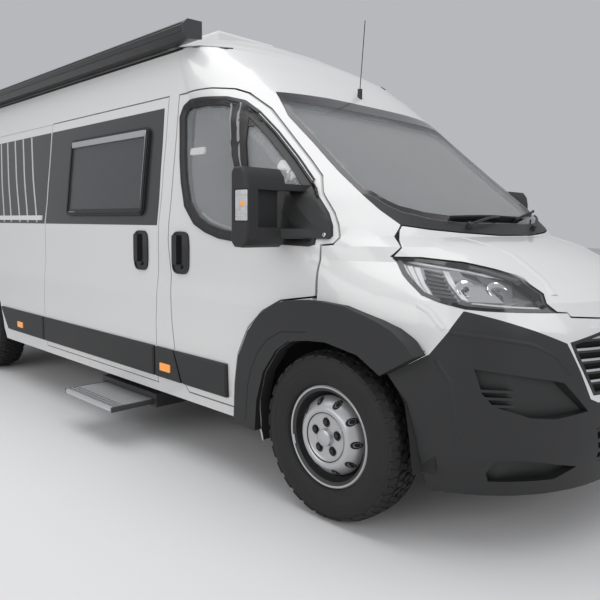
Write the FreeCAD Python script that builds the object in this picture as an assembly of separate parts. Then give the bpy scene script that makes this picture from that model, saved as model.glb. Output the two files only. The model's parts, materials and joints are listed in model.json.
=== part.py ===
import FreeCAD, Part
import math
import os
from functools import lru_cache

V = FreeCAD.Vector
os.makedirs("parts", exist_ok=True)

# Camper van on a long-wheelbase, high-roof panel van.
# X runs forward, Y to the van's left, Z up; the origin lies on the ground
# midway between nose and tail. Sizes are in millimetres. Outlines and stations
# are given with X measured from the front axle.

LENGTH = 5998.0
WHEELBASE = 4035.0
FRONT_OVERHANG = 948.0
REAR_END = -4985.0
FRONT_TRACK = 1810.0
REAR_TRACK = 1790.0
ROOF_Z = 2500.0
GUTTER_Z = 2210.0
FLOOR_Z = 535.0
SILL_Z = 315.0

# Wall and door thickness, bonnet and bumper, pressed wing, glass.
WALL = 60.0
MOULDING = 30.0
SHEET = 8.0
GLASS = 6.0
DOOR_GAP = 6.0
REAR_ARCH_GROWTH = 30.0
HINGE_GAP = 8.0
SEAT = 0.3
RUNNING_CLEARANCE = 0.05

# Tyre 225/75 R16 on a 6 x 16 pressed-steel wheel.
TYRE_RADIUS = 370.0
TYRE_WIDTH = 225.0
RIM_RADIUS = 203.0
MOUNT_FACE = 80.0
BOLT_CIRCLE = 130.0
BOLT_COUNT = 5
BOLT_HOLE_RADIUS = 7.5
STUB_RADIUS = 32.0
VENT_COUNT = 10
VENT_CIRCLE = 157.0
VENT_RADIUS = 10.0
BOLT_RECESS = 13.0
KINGPIN_OFFSET = 105.0
KINGPIN_RADIUS = 30.0

CAB_REAR = -1290.0
BULKHEAD = 50.0
STEERING_X = -540.0
STEERING_Y = 410.0
STEERING_Z = 1090.0
COLUMN_TILT = 28.0
COLUMN = 90.0
DOOR_PIN_X = 38.0
DOOR_PIN_Y = 957.0
DOOR_PIN_Z = 996.0
HINGE_LEAF = 14.0
HINGE_BLOCK = 23.4
PIN_RADIUS = 5.0
BARREL_RADIUS = 10.0
BONNET_PIN_X = 95.0
BONNET_PIN_Z = 1278.0
BONNET_PIN_Y = 662.0
REAR_PIN_OUT = 15.0
REAR_PIN_Y = 787.0
REAR_PIN_HEIGHTS = (800.0, 1350.0, 1950.0)
MIRROR_OUT = 1250.0
MIRROR_IN = 1025.0
STEP_FRONT = -1400.0
STEP_WIDTH = 580.0
STEP_Z = 212.0
STEP_OUT = 1235.0
AERIAL_X = -690.0
AWNING_FRONT = -1110.0
AWNING_LENGTH = 3640.0
LAMP_WALL = 5.0
LOUVRE_PITCH = 42.0
LOUVRE_HEIGHT = 20.0

FRONT_AXLE_X = LENGTH / 2 - FRONT_OVERHANG
REAR_AXLE_X = FRONT_AXLE_X - WHEELBASE
AXLE_Z = TYRE_RADIUS
HALF = 1200.0

# Half width of the body at each height.
SIDE = ((235, 962), (315, 985), (400, 998), (580, 1005), (720, 1006), (890, 998), (985, 985),
        (1180, 984), (1260, 980), (1390, 962), (1560, 944), (1720, 925), (1890, 908), (1960, 900),
        (2080, 880), (2210, 850), (2260, 812), (2310, 745), (2360, 645), (2410, 510), (2450, 370),
        (2480, 230), (2500, 110))
# Nose, bonnet, windscreen and forehead on the centre line, ahead of the front axle.
FRONT = ((235, 880), (400, 938), (580, 948), (890, 945), (985, 895), (1050, 808), (1120, 665),
         (1180, 510), (1222, 320), (1960, -637), (2080, -787), (2210, -981), (2260, -1059),
         (2310, -1165), (2360, -1265), (2410, -1393), (2450, -1558), (2480, -1780), (2500, -2000))
# Where the plan outline starts to turn in towards the nose, and how square the turn is.
TURN = ((235, -100), (985, -100), (1120, -230), (1222, -260), (1390, -500), (1600, -770),
        (1960, -1140), (2210, -1285), (2360, -1980), (2500, -2780))
SQUARENESS = ((235, 2.5), (985, 2.5), (1120, 1.95), (1222, 2.3), (1390, 3.0), (1600, 3.1),
              (1960, 3.4), (2210, 2.9), (2360, 3.1), (2500, 2.3))

# Side-view outlines (x, z).
ARCH = ((-445, 200), (-432, 300), (-420, 450), (-376, 591), (-292, 704), (-213, 757), (-93, 776),
        (9, 783), (180, 756), (292, 694), (372, 590), (408, 450), (430, 300), (438, 200))
LINER = ((-470, 200), (-462, 430), (-400, 640), (-300, 760), (-180, 805), (0, 820), (180, 808),
         (310, 765), (410, 670), (470, 500), (490, 200))
FLARE = ((-590, 300), (-578, 495), (-556, 635), (-485, 770), (-402, 859), (-295, 918),
         (-229, 936), (-113, 948), (-21, 950), (106, 943), (269, 901), (339, 875), (405, 832),
         (446, 786), (520, 690), (560, 560), (585, 300))
FRONT_DOOR = ((-1195, 1950), (-1195, 1170), (-1166, 980), (-1146, 800), (-1110, 580),
              (-1035, 420), (-1000, 372), (-620, 372), (-608, 500), (-580, 645), (-508, 784),
              (-412, 872), (-295, 932), (-112, 962), (-88, 966), (-80, 1184), (-26, 1190),
              (-14, 1213), (-36, 1262), (-76, 1317), (-156, 1404), (-206, 1480), (-287, 1552),
              (-450, 1693), (-600, 1824), (-734, 1912), (-801, 1936), (-920, 1948))
FRONT_WINDOW = ((-1126, 1873), (-1082, 1891), (-950, 1887), (-815, 1877), (-724, 1860),
                (-627, 1805), (-490, 1696), (-347, 1573), (-182, 1425), (-165, 1390),
                (-122, 1196), (-640, 1204), (-750, 1215), (-856, 1242), (-948, 1280),
                (-1043, 1367), (-1090, 1488), (-1121, 1624), (-1150, 1829))
MIRROR_PLATE = ((-300, 1208), (-44, 1208), (-36, 1220), (-50, 1262), (-88, 1317), (-166, 1400),
                (-205, 1436), (-290, 1436))
WINDOW_BAR = ((-722, 1880), (-706, 1880), (-606, 1190), (-622, 1190))
HEADLAMP = ((205, 1136), (294, 1136), (416, 1120), (519, 1096), (621, 1067), (719, 1012),
            (782, 950), (699, 952), (619, 954), (545, 959), (463, 979), (388, 1003), (281, 1073))
FRONT_END = ((-72, 180), (-72, 1180), (-21, 1241), (13, 1307), (34, 1332), (34, 1600),
             (1200, 1600), (1200, 180))
BUMPER_SIDE = ((547, 965), (505, 875), (446, 786), (240, 655), (240, 180), (1200, 180),
               (1200, 965))
CAMPER_WINDOW = ((-2430, 1330), (-2410, 1310), (-1470, 1310), (-1450, 1330), (-1450, 1790),
                 (-1470, 1810), (-2410, 1810), (-2430, 1790))
DOOR_RAIL = ((-3660, 1278), (-2827, 1278), (-2827, 1312), (-3660, 1312))

# Front-view half outlines (y, z) on the right, read from the top down or round.
WINDSCREEN = ((-342, 1942), (-686, 1932), (-740, 1788), (-745, 1646), (-758, 1502), (-757, 1407),
              (-722, 1393), (-689, 1351), (-647, 1325), (-532, 1297), (-366, 1282))
COWL = ((-366, 1282), (-532, 1297), (-647, 1325), (-689, 1351), (-722, 1393), (-757, 1407),
        (-756, 1388), (-738, 1332), (-699, 1265), (-583, 1249), (-430, 1237), (-161, 1224))
BONNET = ((-161, 1224), (-430, 1237), (-583, 1249), (-699, 1265), (-767, 1207), (-838, 1142),
          (-700, 1030), (-612, 956), (-556, 953), (-549, 937), (-423, 928), (-200, 922))
BUMPER_FACE = ((-430, 600), (-471, 618), (-529, 735), (-585, 839), (-677, 881), (-776, 926),
               (-843, 953), (-1100, 965), (-1100, 180))
GRILLE = ((-442, 876), (-574, 842), (-545, 780), (-500, 700), (-458, 630))
RECESS = ((-842, 742), (-640, 703), (-590, 690), (-480, 572), (-610, 553), (-695, 560),
          (-797, 603), (-824, 650))
FOG_RECESS = ((-775, 392), (-700, 394), (-480, 345), (-560, 300), (-770, 300), (-785, 335))
LOWER_INTAKE = ((-300, 505), (-420, 495), (-380, 350), (-250, 335))
REAR_DOOR = ((3, 508), (775, 508), (775, 2140), (745, 2235), (665, 2283), (3, 2283))
REAR_WINDOW = ((150, 1330), (700, 1330), (680, 1820), (160, 1820))
# Plan of the space behind the bonnet's rear edge, right half (x, y).
BONNET_REAR = ((-300, 0), (-300, -900), (210, -900), (210, -838), (222, -800), (180, -764),
               (150, -722), (144, -700), (209, -583), (264, -430), (311, -161), (311, 0))


def at(profile, z):
    """Value of a height profile at z."""
    if z <= profile[0][0]:
        return profile[0][1]
    for (z0, v0), (z1, v1) in zip(profile, profile[1:]):
        if z <= z1:
            return v0 + (v1 - v0) * (z - z0) / (z1 - z0)
    return profile[-1][1]


def inset(profile, depth):
    """The profile moved inward by depth, square to its own slope."""
    moved = []
    for i, (z, v) in enumerate(profile):
        z0, v0 = profile[max(i - 1, 0)]
        z1, v1 = profile[min(i + 1, len(profile) - 1)]
        run = math.hypot(z1 - z0, v1 - v0)
        moved.append((z + depth * (v1 - v0) / run, v - depth * (z1 - z0) / run))
    return moved


def polygon(points):
    return Part.Face(Part.makePolygon(list(points) + [points[0]]))


def widened(face, gap):
    """The face with its outline moved outward by gap, corners kept sharp."""
    return face.makeOffset2D(gap, 2) if gap else face


def symmetric(half):
    """A front-view outline completed with its mirror image."""
    return list(half) + [(-y, z) for y, z in reversed(half)]


def side_prism(outline, y0, y1, gap=0):
    """Side-view outline drawn out from y0 to y1."""
    face = polygon([V(FRONT_AXLE_X + x, y0, z) for x, z in outline])
    return widened(face, gap).extrude(V(0, y1 - y0, 0))


def plan_prism(outline, z0, z1):
    """Plan outline drawn up from z0 to z1."""
    face = polygon([V(FRONT_AXLE_X + x, y, z0) for x, y in outline])
    return face.extrude(V(0, 0, z1 - z0))


def front_prism(outline, x0, x1, gap=0):
    """Front-view outline drawn out between two stations."""
    face = polygon([V(FRONT_AXLE_X + x0, y, z) for y, z in outline])
    return widened(face, gap).extrude(V(x1 - x0, 0, 0))


def block(x0, x1, y0, y1, z0, z1):
    return Part.makeBox(x1 - x0, y1 - y0, z1 - z0, V(FRONT_AXLE_X + x0, y0, z0))


def post(radius, z0, z1, x, y):
    return Part.makeCylinder(radius, z1 - z0, V(FRONT_AXLE_X + x, y, z0), V(0, 0, 1))


def bar(radius, y0, y1, x, z):
    return Part.makeCylinder(radius, y1 - y0, V(FRONT_AXLE_X + x, y0, z), V(0, 1, 0))


def beam(radius, x0, x1, y, z):
    return Part.makeCylinder(radius, x1 - x0, V(FRONT_AXLE_X + x0, y, z), V(1, 0, 0))


def mirrored(shape):
    return shape.mirror(V(0, 0, 0), V(0, 1, 0))


def on_side(shape, side):
    """Shapes are drawn on the right; side +1 gives the left one."""
    return shape if side < 0 else mirrored(shape)


def fuse(shapes):
    whole = shapes[0]
    for shape in shapes[1:]:
        whole = whole.fuse(shape)
    return whole.removeSplitter()


def both(shape):
    return [shape, mirrored(shape)]


def pair(shape):
    """The shape and its mirror image in one node."""
    return Part.makeCompound(both(shape))


def closer_at_ends(knots):
    """The knots with the first and the last span cut in three, where the nose leaves the side."""
    first = (knots[1] - knots[0]) / 3
    last = (knots[-1] - knots[-2]) / 3
    ends = [knots[0] + first, knots[0] + 2 * first, knots[-1] - 2 * last, knots[-1] - last]
    return sorted(list(knots) + ends)


def plan_wire(z, side, front, rear, smooth):
    """One level of the cab or roof: flat back, straight sides, a nose turned as a superellipse."""
    half = at(side, z)
    tip = FRONT_AXLE_X + at(front, z)
    turn = FRONT_AXLE_X + at(TURN, z)
    square = at(SQUARENESS, z)
    steps = 4
    points = []
    for k in range(-steps, steps + 1):
        angle = math.pi / 2 * abs(k) / steps
        x = turn if abs(k) == steps else turn + (tip - turn) * math.cos(angle) ** (2 / square)
        y = half * math.sin(angle) ** (2 / square)
        points.append(V(x, -y if k > 0 else y, z))
    nose = Part.BSplineCurve()
    nose.interpolate(points)
    if smooth:
        edges = [nose.toShape()]
    else:
        points = [nose.value(u) for u in closer_at_ends(nose.getKnots())]
        edges = [Part.makeLine(a, b) for a, b in zip(points, points[1:])]
    back = [points[-1], V(rear, -half, z), V(rear, half, z), points[0]]
    return Part.Wire(edges + [Part.makeLine(a, b) for a, b in zip(back, back[1:])])


def form(depth, levels, rear):
    """The body between levels, moved inward by depth; only the outer skin needs smooth curves."""
    side = inset(SIDE, depth)
    front = inset(FRONT, depth)
    return Part.makeLoft([plan_wire(z, side, front, rear, depth == 0) for z in levels], True, True)


@lru_cache(maxsize=None)
def cab_form(depth):
    levels = {z for z, _ in SIDE if z <= GUTTER_Z} | {1050, 1120, 1222}
    return form(depth, sorted(levels), FRONT_AXLE_X + CAB_REAR)


@lru_cache(maxsize=None)
def roof_form(depth):
    """The roof above the gutter; inside it ends a wall's depth from the tail."""
    levels = [z for z, _ in SIDE if GUTTER_Z <= z < ROOF_Z - depth - 10]
    return form(depth, levels + [ROOF_Z - depth], FRONT_AXLE_X + REAR_END + depth)


@lru_cache(maxsize=None)
def box_form(depth, x0=REAR_END, x1=CAB_REAR):
    """The load space between two stations, from sill to gutter."""
    side = inset(SIDE, depth)
    levels = [z for z, _ in SIDE if SILL_Z <= z <= GUTTER_Z]
    right = [(-at(side, z), z) for z in levels]
    left = [(at(side, z), z) for z in reversed(levels)]
    return front_prism(right + left, x0, x1)


@lru_cache(maxsize=None)
def cab_skin():
    """The cab's outer form with the front wheel arches and the step-up of the sills cut away."""
    arches = [side_prism(ARCH, -HALF, -450), side_prism(ARCH, 450, HALF)]
    sills = block(CAB_REAR - 10, ARCH[0][0], -HALF, HALF, 200, SILL_Z)
    return cab_form(0).cut(Part.makeCompound(arches + [sills]))


def wheel_place(x, track, side):
    return V(x, side * track / 2, AXLE_Z)


def revolve(outline, centre, side):
    """Turn an outline of (radius, offset outboard) about the wheel's axis."""
    face = polygon([V(centre.x + r, centre.y + side * y, centre.z) for r, y in outline])
    return face.revolve(centre, V(0, 1, 0), 360)


def tyre(centre, side):
    """Carcass with rounded shoulders, its bead seated on the rim."""
    w = TYRE_WIDTH / 2
    outline = [(RIM_RADIUS, -74), (222, -75), (229, -97), (250, -107), (280, -w), (325, -w + 4),
               (355, -98), (TYRE_RADIUS, -72), (TYRE_RADIUS, 72), (355, 98), (325, w - 4),
               (280, w), (250, 107), (229, 97), (222, 75), (RIM_RADIUS, 74), (RIM_RADIUS, 62),
               (240, 75), (300, 92), (335, 82), (352, 62), (352, -62), (335, -82), (300, -92),
               (240, -75), (RIM_RADIUS, -62)]
    return revolve(outline, centre, side)


def holes_round(piece, centre, circle, count, radius, start=0.0, inner=-130.0, side=1):
    """Holes along the wheel's axis, evenly spaced on a circle from an angle off the top."""
    for k in range(count):
        a = 2 * math.pi * (k + start) / count
        place = centre + V(circle * math.sin(a), side * inner, circle * math.cos(a))
        piece = piece.cut(Part.makeCylinder(radius, 130 - inner, place, V(0, side, 0)))
    return piece


def rim(centre, side):
    """Drop-centre rim, pressed disc with a raised ring and vents, and a cap over the hub."""
    bore = STUB_RADIUS + RUNNING_CLEARANCE
    face = MOUNT_FACE
    barrel = [(RIM_RADIUS, -54), (RIM_RADIUS, -76), (219, -77), (222, -84), (217, -88),
              (210, -86), (196, -78), (196, -58), (172, -40), (172, 10), (196, 50), (196, 78),
              (210, 86), (217, 88), (222, 84), (219, 77), (RIM_RADIUS, 76), (RIM_RADIUS, 50),
              (179, 8), (179, -38)]
    disc = [(0, face + 34), (26, face + 34), (36, face + 29), (40, face + 10), (92, face + 10),
            (101, face + 13), (110, face + 21), (118, face + 24), (130, face + 22),
            (140, face + 14), (152, face + 2), (166, face - 16), (175, face - 42), (178, 14),
            (178, -4), (172, -4), (169, 34), (160, 56), (146, face - 6), (134, face + 6),
            (126, face + 13), (116, face + 14), (106, face + 6), (98, face), (bore, face),
            (bore, face + 24), (0, face + 24)]
    wheel = revolve(barrel, centre, side).fuse(revolve(disc, centre, side))
    wheel = holes_round(wheel, centre, VENT_CIRCLE, VENT_COUNT, VENT_RADIUS, 0.5)
    wheel = holes_round(wheel, centre, BOLT_CIRCLE / 2, BOLT_COUNT, BOLT_RECESS, 0, face + 5, side)
    return holes_round(wheel, centre, BOLT_CIRCLE / 2, BOLT_COUNT, BOLT_HOLE_RADIUS)


def brake_disc(centre, side):
    """Vented disc with its hat, bolted behind the wheel disc."""
    bore = STUB_RADIUS + RUNNING_CLEARANCE
    face = MOUNT_FACE
    outline = [(bore, face), (95, face), (95, 20), (150, 20), (150, -8), (85, -8), (85, face - 10),
               (bore, face - 10)]
    disc = revolve(outline, centre, side)
    return holes_round(disc, centre, BOLT_CIRCLE / 2, BOLT_COUNT, BOLT_HOLE_RADIUS)


def wheel(centre, side):
    return Part.makeCompound([rim(centre, side), brake_disc(centre, side)])


def knuckle(side):
    """Hub carrier turning on the kingpin, with its stub, steering arm and brake caliper."""
    hub = -FRONT_TRACK / 2
    pin = hub + KINGPIN_OFFSET
    stub = bar(STUB_RADIUS, hub - MOUNT_FACE - 20, pin, 0, AXLE_Z)
    flange = bar(60, hub + 30, pin, 0, AXLE_Z)
    upright = post(KINGPIN_RADIUS, AXLE_Z - 90, AXLE_Z + 130, 0, pin)
    arm = block(-160, 0, pin - 13, pin + 13, AXLE_Z - 20, AXLE_Z + 10)
    return on_side(fuse([stub, flange, upright, arm]), side)


def front_axle_frame():
    """Cross-members, lower arms under the knuckles and struts above them."""
    foot = AXLE_Z - 90 - SEAT
    head = AXLE_Z + 130 + SEAT
    pin = FRONT_TRACK / 2 - KINGPIN_OFFSET
    subframe = [block(-60, 60, -470, 470, foot - 34, foot + 30), block(-60, 60, -440, -370, 300, 430),
                block(-60, 60, 370, 440, 300, 430)]
    arm = plan_prism(((-55, -440), (55, -440), (30, -pin - 24), (-30, -pin - 24)), foot - 34, foot)
    strut = [post(KINGPIN_RADIUS, head, head + 28, 0, -pin),
             block(-28, 28, -pin - 15, -690, head, head + 28), post(27, head, 900, 0, -718),
             block(-70, BULKHEAD, -790, -560, 900, 912)]
    return Part.makeCompound([fuse(subframe + both(arm))] + both(fuse(strut)))


def cooling_pack():
    """Radiator behind the grille on its cross-member."""
    member = block(760, 830, -430, 430, 392, 430)
    core = block(775, 815, -380, 380, 430, 850)
    return fuse([member, core])


def engine():
    """Engine and gearbox as one plain block between the rails, with the radiator ahead."""
    mass = fuse([block(230, 700, -340, 340, 430, 880), block(430, 490, -370, 370, 450, 490)])
    return Part.makeCompound([mass, cooling_pack()])


def chassis_rails():
    """Two rails from the radiator to the tail with cross-members between them."""
    rails = [block(-4800, 760, y, y + 70, 430, 500) for y in (-440, 370)]
    members = [block(x, x + 60, -370, 370, 440, 490) for x in (-4500, -3300, -2500, -1500, -700)]
    return fuse(rails + members)


def tanks_and_exhaust():
    """Fuel tank, waste tank behind it and exhaust with its silencer, hung from the floor."""
    fuel = block(-1400, -760, -340, 120, 250, 438)
    fuel = fuel.makeFillet(30, [e for e in fuel.Edges if e.BoundBox.ZLength > 100])
    waste = block(-3180, -2560, -300, 340, 260, 438)
    fuel = fuse([fuel, block(-1100, -1060, -300, 100, 430, FLOOR_Z - 35)])
    waste = fuse([waste, block(-2900, -2860, -280, 320, 430, FLOOR_Z - 35)])
    pipe = beam(24, -2450, 100, 250, 345)
    silencer = beam(75, -2400, -1750, 250, 345)
    strap = block(-2100, -2060, 170, 330, 400, FLOOR_Z - 35)
    exhaust = fuse([pipe, silencer, strap])
    return Part.makeCompound([fuel, waste, exhaust])


def door_hinge_leaf(side):
    """Forked gooseneck of a front door; it reaches round the wing's edge as the door swings."""
    x, y = DOOR_PIN_X, -DOOR_PIN_Y
    neck = ((x - 12, y), (x - 12, y + 115), (x - 150, y + 115), (x - 150, y + 10),
            (x - 170, y + 10), (x - 170, y + 133), (x + 4, y + 133), (x + 4, y))
    reach = HINGE_BLOCK / 2 + SEAT
    leaves = []
    for z in (DOOR_PIN_Z - reach - HINGE_LEAF, DOOR_PIN_Z + reach):
        leaf = plan_prism(neck, z, z + HINGE_LEAF).fuse(post(BARREL_RADIUS, z, z + HINGE_LEAF, x, y))
        leaves.append(leaf.cut(post(PIN_RADIUS + RUNNING_CLEARANCE, z - 1, z + 20, x, y)))
    return on_side(Part.makeCompound(leaves), side)


def door_hinge_bracket():
    """Block beside the bulkhead with the pin that a front door's fork turns on."""
    x, y = DOOR_PIN_X, -DOOR_PIN_Y
    z0, z1 = DOOR_PIN_Z - HINGE_BLOCK / 2, DOOR_PIN_Z + HINGE_BLOCK / 2
    arm = block(x, BULKHEAD + 20, y - 6, y + 70, z0, z1)
    barrel = post(BARREL_RADIUS, z0, z1, x, y)
    return fuse([arm, barrel, post(PIN_RADIUS, z0 - 14, z1 + 14, x, y)])


def bonnet_hinge_bracket():
    """Ear on the bulkhead with the pin that one of the bonnet's arms turns on."""
    x, z, y = BONNET_PIN_X, BONNET_PIN_Z, -BONNET_PIN_Y
    ear = side_prism(((BULKHEAD + 10, 1150), (BULKHEAD + 10, z - 12), (x - 6, z + 9), (x + 9, z + 9),
                      (x + 9, z - 9), (BULKHEAD + 30, 1150)), y - 16, y - 6)
    return ear.fuse(bar(PIN_RADIUS, y - 16, y + 8, x, z))


def bulkhead():
    """Panel between engine bay and cab with the hinge brackets of doors and bonnet."""
    panel = block(BULKHEAD, BULKHEAD + 30, -1100, 1100, 500, 1268).common(cab_form(WALL))
    for y0, y1 in ((-1100, -545), (545, 1100)):
        panel = panel.cut(side_prism(LINER, y0, y1, 10))
    for fitting in (door_hinge_bracket(), bonnet_hinge_bracket()):
        panel = panel.fuse(fitting).fuse(mirrored(fitting))
    return panel.removeSplitter()


def wheelhouse(station, y0, inside):
    """Liner round the upper part of a wheel, closed on its inner side."""
    outline = [(x + station, z) for x, z in LINER]
    shell = side_prism(outline, -1100, -y0, 10).cut(side_prism(outline, -1100, -y0 - 10))
    return shell.common(block(station - 600, station + 600, -1100, 0, 325, 900)).common(inside)


def wheelhouses():
    front = wheelhouse(0, 545, cab_form(WALL)).cut(post(33, 700, 900, 0, -718))
    rear = wheelhouse(-WHEELBASE, 640, box_form(WALL))
    rear = rear.cut(block(-WHEELBASE - 90, -WHEELBASE + 90, -660, -600, 300, 500))
    return Part.makeCompound(both(front) + both(rear))


def windscreen(skin):
    """Glass bonded into the windscreen opening."""
    return skin.cut(cab_form(GLASS)).common(front_prism(symmetric(WINDSCREEN), -900, 900))


def cowl(sheet):
    """Moulded panel between the glass and the bonnet's rear edge."""
    panel = sheet.common(front_prism(symmetric(COWL), -300, 900))
    return panel.cut(bonnet_opening())


@lru_cache(maxsize=None)
def bonnet_opening():
    return front_prism(symmetric(BONNET), 0, 1200, DOOR_GAP)


@lru_cache(maxsize=None)
def lamp_prism(gap=0):
    """The space of the right headlamp."""
    return side_prism(HEADLAMP, -HALF, -555, gap)


def under_lamp():
    """Space below the right headlamp's upper edge, kept free of the bonnet's inner flange."""
    outline = [(0, 1136)] + list(HEADLAMP[:7]) + [(782, 800), (0, 800)]
    return side_prism(outline, -HALF, -555, DOOR_GAP)


def bonnet_arm():
    """Arm from the bonnet's underside round the cowl's edge to the pin."""
    x, z, y = BONNET_PIN_X, BONNET_PIN_Z, -BONNET_PIN_Y
    neck = side_prism(((x - 4, z), (x - 4, 1196), (206, 1180), (300, 1185), (300, 1300), (222, 1300),
                       (222, 1198), (x + 8, 1206), (x + 8, z)), y - 5, y + 5)
    neck = neck.common(cab_form(14)).fuse(bar(BARREL_RADIUS, y - 5, y + 5, x, z))
    return neck.cut(bar(PIN_RADIUS + RUNNING_CLEARANCE, y - 20, y + 20, x, z))


def bonnet(moulding):
    """Clamshell bonnet that reaches down to the headlamps and the grille."""
    panel = moulding.common(front_prism(symmetric(BONNET), 0, 1200))
    behind = both(plan_prism(BONNET_REAR, 1000, 1400))
    panel = panel.cut(Part.makeCompound(behind + both(under_lamp()) + both(lamp_prism(DOOR_GAP))))
    pocket = bar(30, -BONNET_PIN_Y - 22, -BONNET_PIN_Y + 14, BONNET_PIN_X, BONNET_PIN_Z)
    panel = panel.cut(Part.makeCompound(both(pocket)))
    arm = bonnet_arm()
    return panel.fuse(arm).fuse(mirrored(arm)).removeSplitter()


def headlamp(skin):
    """Clear lens over a hollow housing with two reflector bowls."""
    space = lamp_prism()
    lens = skin.cut(cab_form(LAMP_WALL)).common(space)
    bowls = [beam(38, x, x + 60, y, z) for x, y, z in ((360, -725, 1060), (520, -640, 1040))]
    housing = cab_form(MOULDING).cut(cab_form(WALL)).common(space)
    rim_band = skin.cut(cab_form(WALL)).cut(skin.cut(cab_form(LAMP_WALL))).common(space)
    rim_band = rim_band.cut(side_prism(HEADLAMP, -HALF, -500, -LAMP_WALL))
    body = fuse([housing, rim_band])
    return [lens, body] + [b.common(cab_form(LAMP_WALL + 6)).cut(body) for b in bowls]


def headlamps(skin):
    right = headlamp(skin)[:2]
    return Part.makeCompound(right + [mirrored(p) for p in right])


@lru_cache(maxsize=None)
def bumper_prism():
    return side_prism(BUMPER_SIDE, -HALF, HALF).common(
        front_prism(symmetric(BUMPER_FACE), 200, 1200))


def slats(zone, z0, z1, pitch, height):
    """Horizontal blades across a recess."""
    count = int((z1 - z0) / pitch)
    blades = [block(200, 1200, -HALF, HALF, z0 + k * pitch, z0 + k * pitch + height)
              for k in range(count)]
    return zone.common(Part.makeCompound(blades))


def front_bumper(skin, moulding):
    """Textured bumper with recessed corner vents, lamp recesses and a slatted lower intake."""
    bumper = moulding.common(bumper_prism()).cut(grille_prism())
    shallow = skin.cut(cab_form(MOULDING - 10))
    corner = front_prism(RECESS, 300, 1200)
    fog = front_prism(FOG_RECESS, 300, 1200)
    pockets = shallow.common(Part.makeCompound(both(corner) + both(fog)))
    intake = front_prism(symmetric(LOWER_INTAKE), 300, 1200)
    blades = slats(moulding.common(intake), 350, 500, 42, 16)
    vents = slats(moulding.common(corner).common(block(0, 1200, -830, -745, 590, 690)), 600, 690,
                  28, 10)
    bumper = bumper.cut(pockets).cut(intake)
    return bumper.fuse([blades, vents, mirrored(vents)]).removeSplitter()


def grille_prism(gap=0):
    return front_prism(symmetric(GRILLE), 500, 1200, gap)


def grille(moulding):
    """Frame with louvres and three upright ties."""
    whole = moulding.common(grille_prism())
    frame = whole.cut(grille_prism(-14))
    louvres = slats(whole, 640, 880, LOUVRE_PITCH, LOUVRE_HEIGHT)
    ties = [whole.common(block(500, 1200, y - 6, y + 6, 600, 900)) for y in (-230, 0, 230)]
    inner = Part.makeCompound([louvres] + ties).common(cab_form(6))
    return frame.fuse(inner).removeSplitter()


def fenders(sheet, front_tools):
    """Wings between the doors and the bonnet, lamp and bumper edges."""
    wing = sheet.common(side_prism(FRONT_END, -HALF, -560)).common(
        block(-80, 547, -HALF, 0, 180, 1400))
    return pair(wing.cut(front_tools))


def nose_panel(sheet, front_tools):
    """Painted band below the bonnet and headlamps, with the bonnet's rubber stops."""
    band = sheet.common(block(547, 1200, -HALF, HALF, 560, 980)).cut(front_tools)
    shelf = block(850, 890, -500, 500, 896, 910).common(cab_form(SHEET - 1))
    stops = [post(7, 905, 922 - SEAT, 898, y) for y in (-150, 150)]
    return fuse([band, shelf] + stops)


def cab_frame(skin):
    """Sills, pillars, header and rear hoop of the cab as one welded piece."""
    frame = skin.cut(cab_form(WALL))
    frame = frame.cut(side_prism(FRONT_END, -HALF, HALF))
    frame = frame.cut(front_prism(symmetric(WINDSCREEN), -900, 900))
    frame = frame.cut(front_prism(symmetric(COWL), -300, 900))
    opening = side_prism(FRONT_DOOR, -HALF, -600, HINGE_GAP)
    hinge_pocket = block(-100, 0, -HALF, -600, 950, 1190)
    return frame.cut(Part.makeCompound(both(opening) + both(hinge_pocket)))


def front_door(skin, side):
    """Door shell with its window cut out, a bar before the quarter light and hinge goosenecks."""
    window = side_prism(FRONT_WINDOW, -HALF, -600).cut(side_prism(WINDOW_BAR, -HALF, -600))
    door = skin.cut(cab_form(WALL)).common(side_prism(FRONT_DOOR, -HALF, -600)).cut(window)
    return on_side(door, side).fuse(door_hinge_leaf(side)).removeSplitter()


def front_door_glass(side):
    """Drop glass and quarter light, behind the door's skin."""
    window = side_prism(FRONT_WINDOW, -HALF, -600).cut(side_prism(WINDOW_BAR, -HALF, -600))
    return on_side(cab_form(8).cut(cab_form(8 + GLASS)).common(window), side)


def mirror(side):
    """Tall mirror head with a hollow front, on two arms from a plate on the door's corner."""
    outline = ((-330, 1190), (-330, 1478), (-316, 1500), (-262, 1500), (-236, 1468), (-225, 1420),
               (-225, 1215), (-240, 1182), (-262, 1168), (-312, 1170))
    head = side_prism(outline, -MIRROR_OUT, -MIRROR_IN)
    head = head.makeFillet(14, [e for e in head.Edges if abs(e.Vertexes[0].Y - e.Vertexes[-1].Y) < 1])
    recess = block(-340, -322, -MIRROR_OUT + 16, -MIRROR_IN - 16, 1200, 1470)
    front_dish = block(-285, -200, -MIRROR_OUT + 62, -MIRROR_IN + 5, 1252, 1408)
    lens_seat = block(-302, -221, -MIRROR_OUT - 5, -MIRROR_OUT + 8, 1276, 1408)
    upper = plan_prism(((-290, -880), (-205, -880), (-228, -1060), (-268, -1040)), 1410, 1438)
    lower = plan_prism(((-150, -900), (-60, -890), (-225, -1060), (-260, -1030)), 1205, 1248)
    plate = side_prism(MIRROR_PLATE, -1100, -880).common(cab_form(-12))
    whole = fuse([head.cut(recess).cut(front_dish).cut(lens_seat), upper, lower, plate]).cut(cab_form(0))
    return on_side(max(whole.Solids, key=lambda solid: solid.Volume), side)


def rub_strip(rear_low, rear_high, front_high, front_low, skin, side):
    """Rub strip between two slanted ends, standing proud of the skin."""
    outline = ((rear_low, 411), (rear_high, 580), (front_high, 580), (front_low, 411))
    piece = side_prism(outline, -1024, -960)
    piece = piece.makeChamfer(8, [e for e in piece.Edges if e.BoundBox.YMax < -1020])
    return on_side(piece.cut(skin), side)


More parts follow.
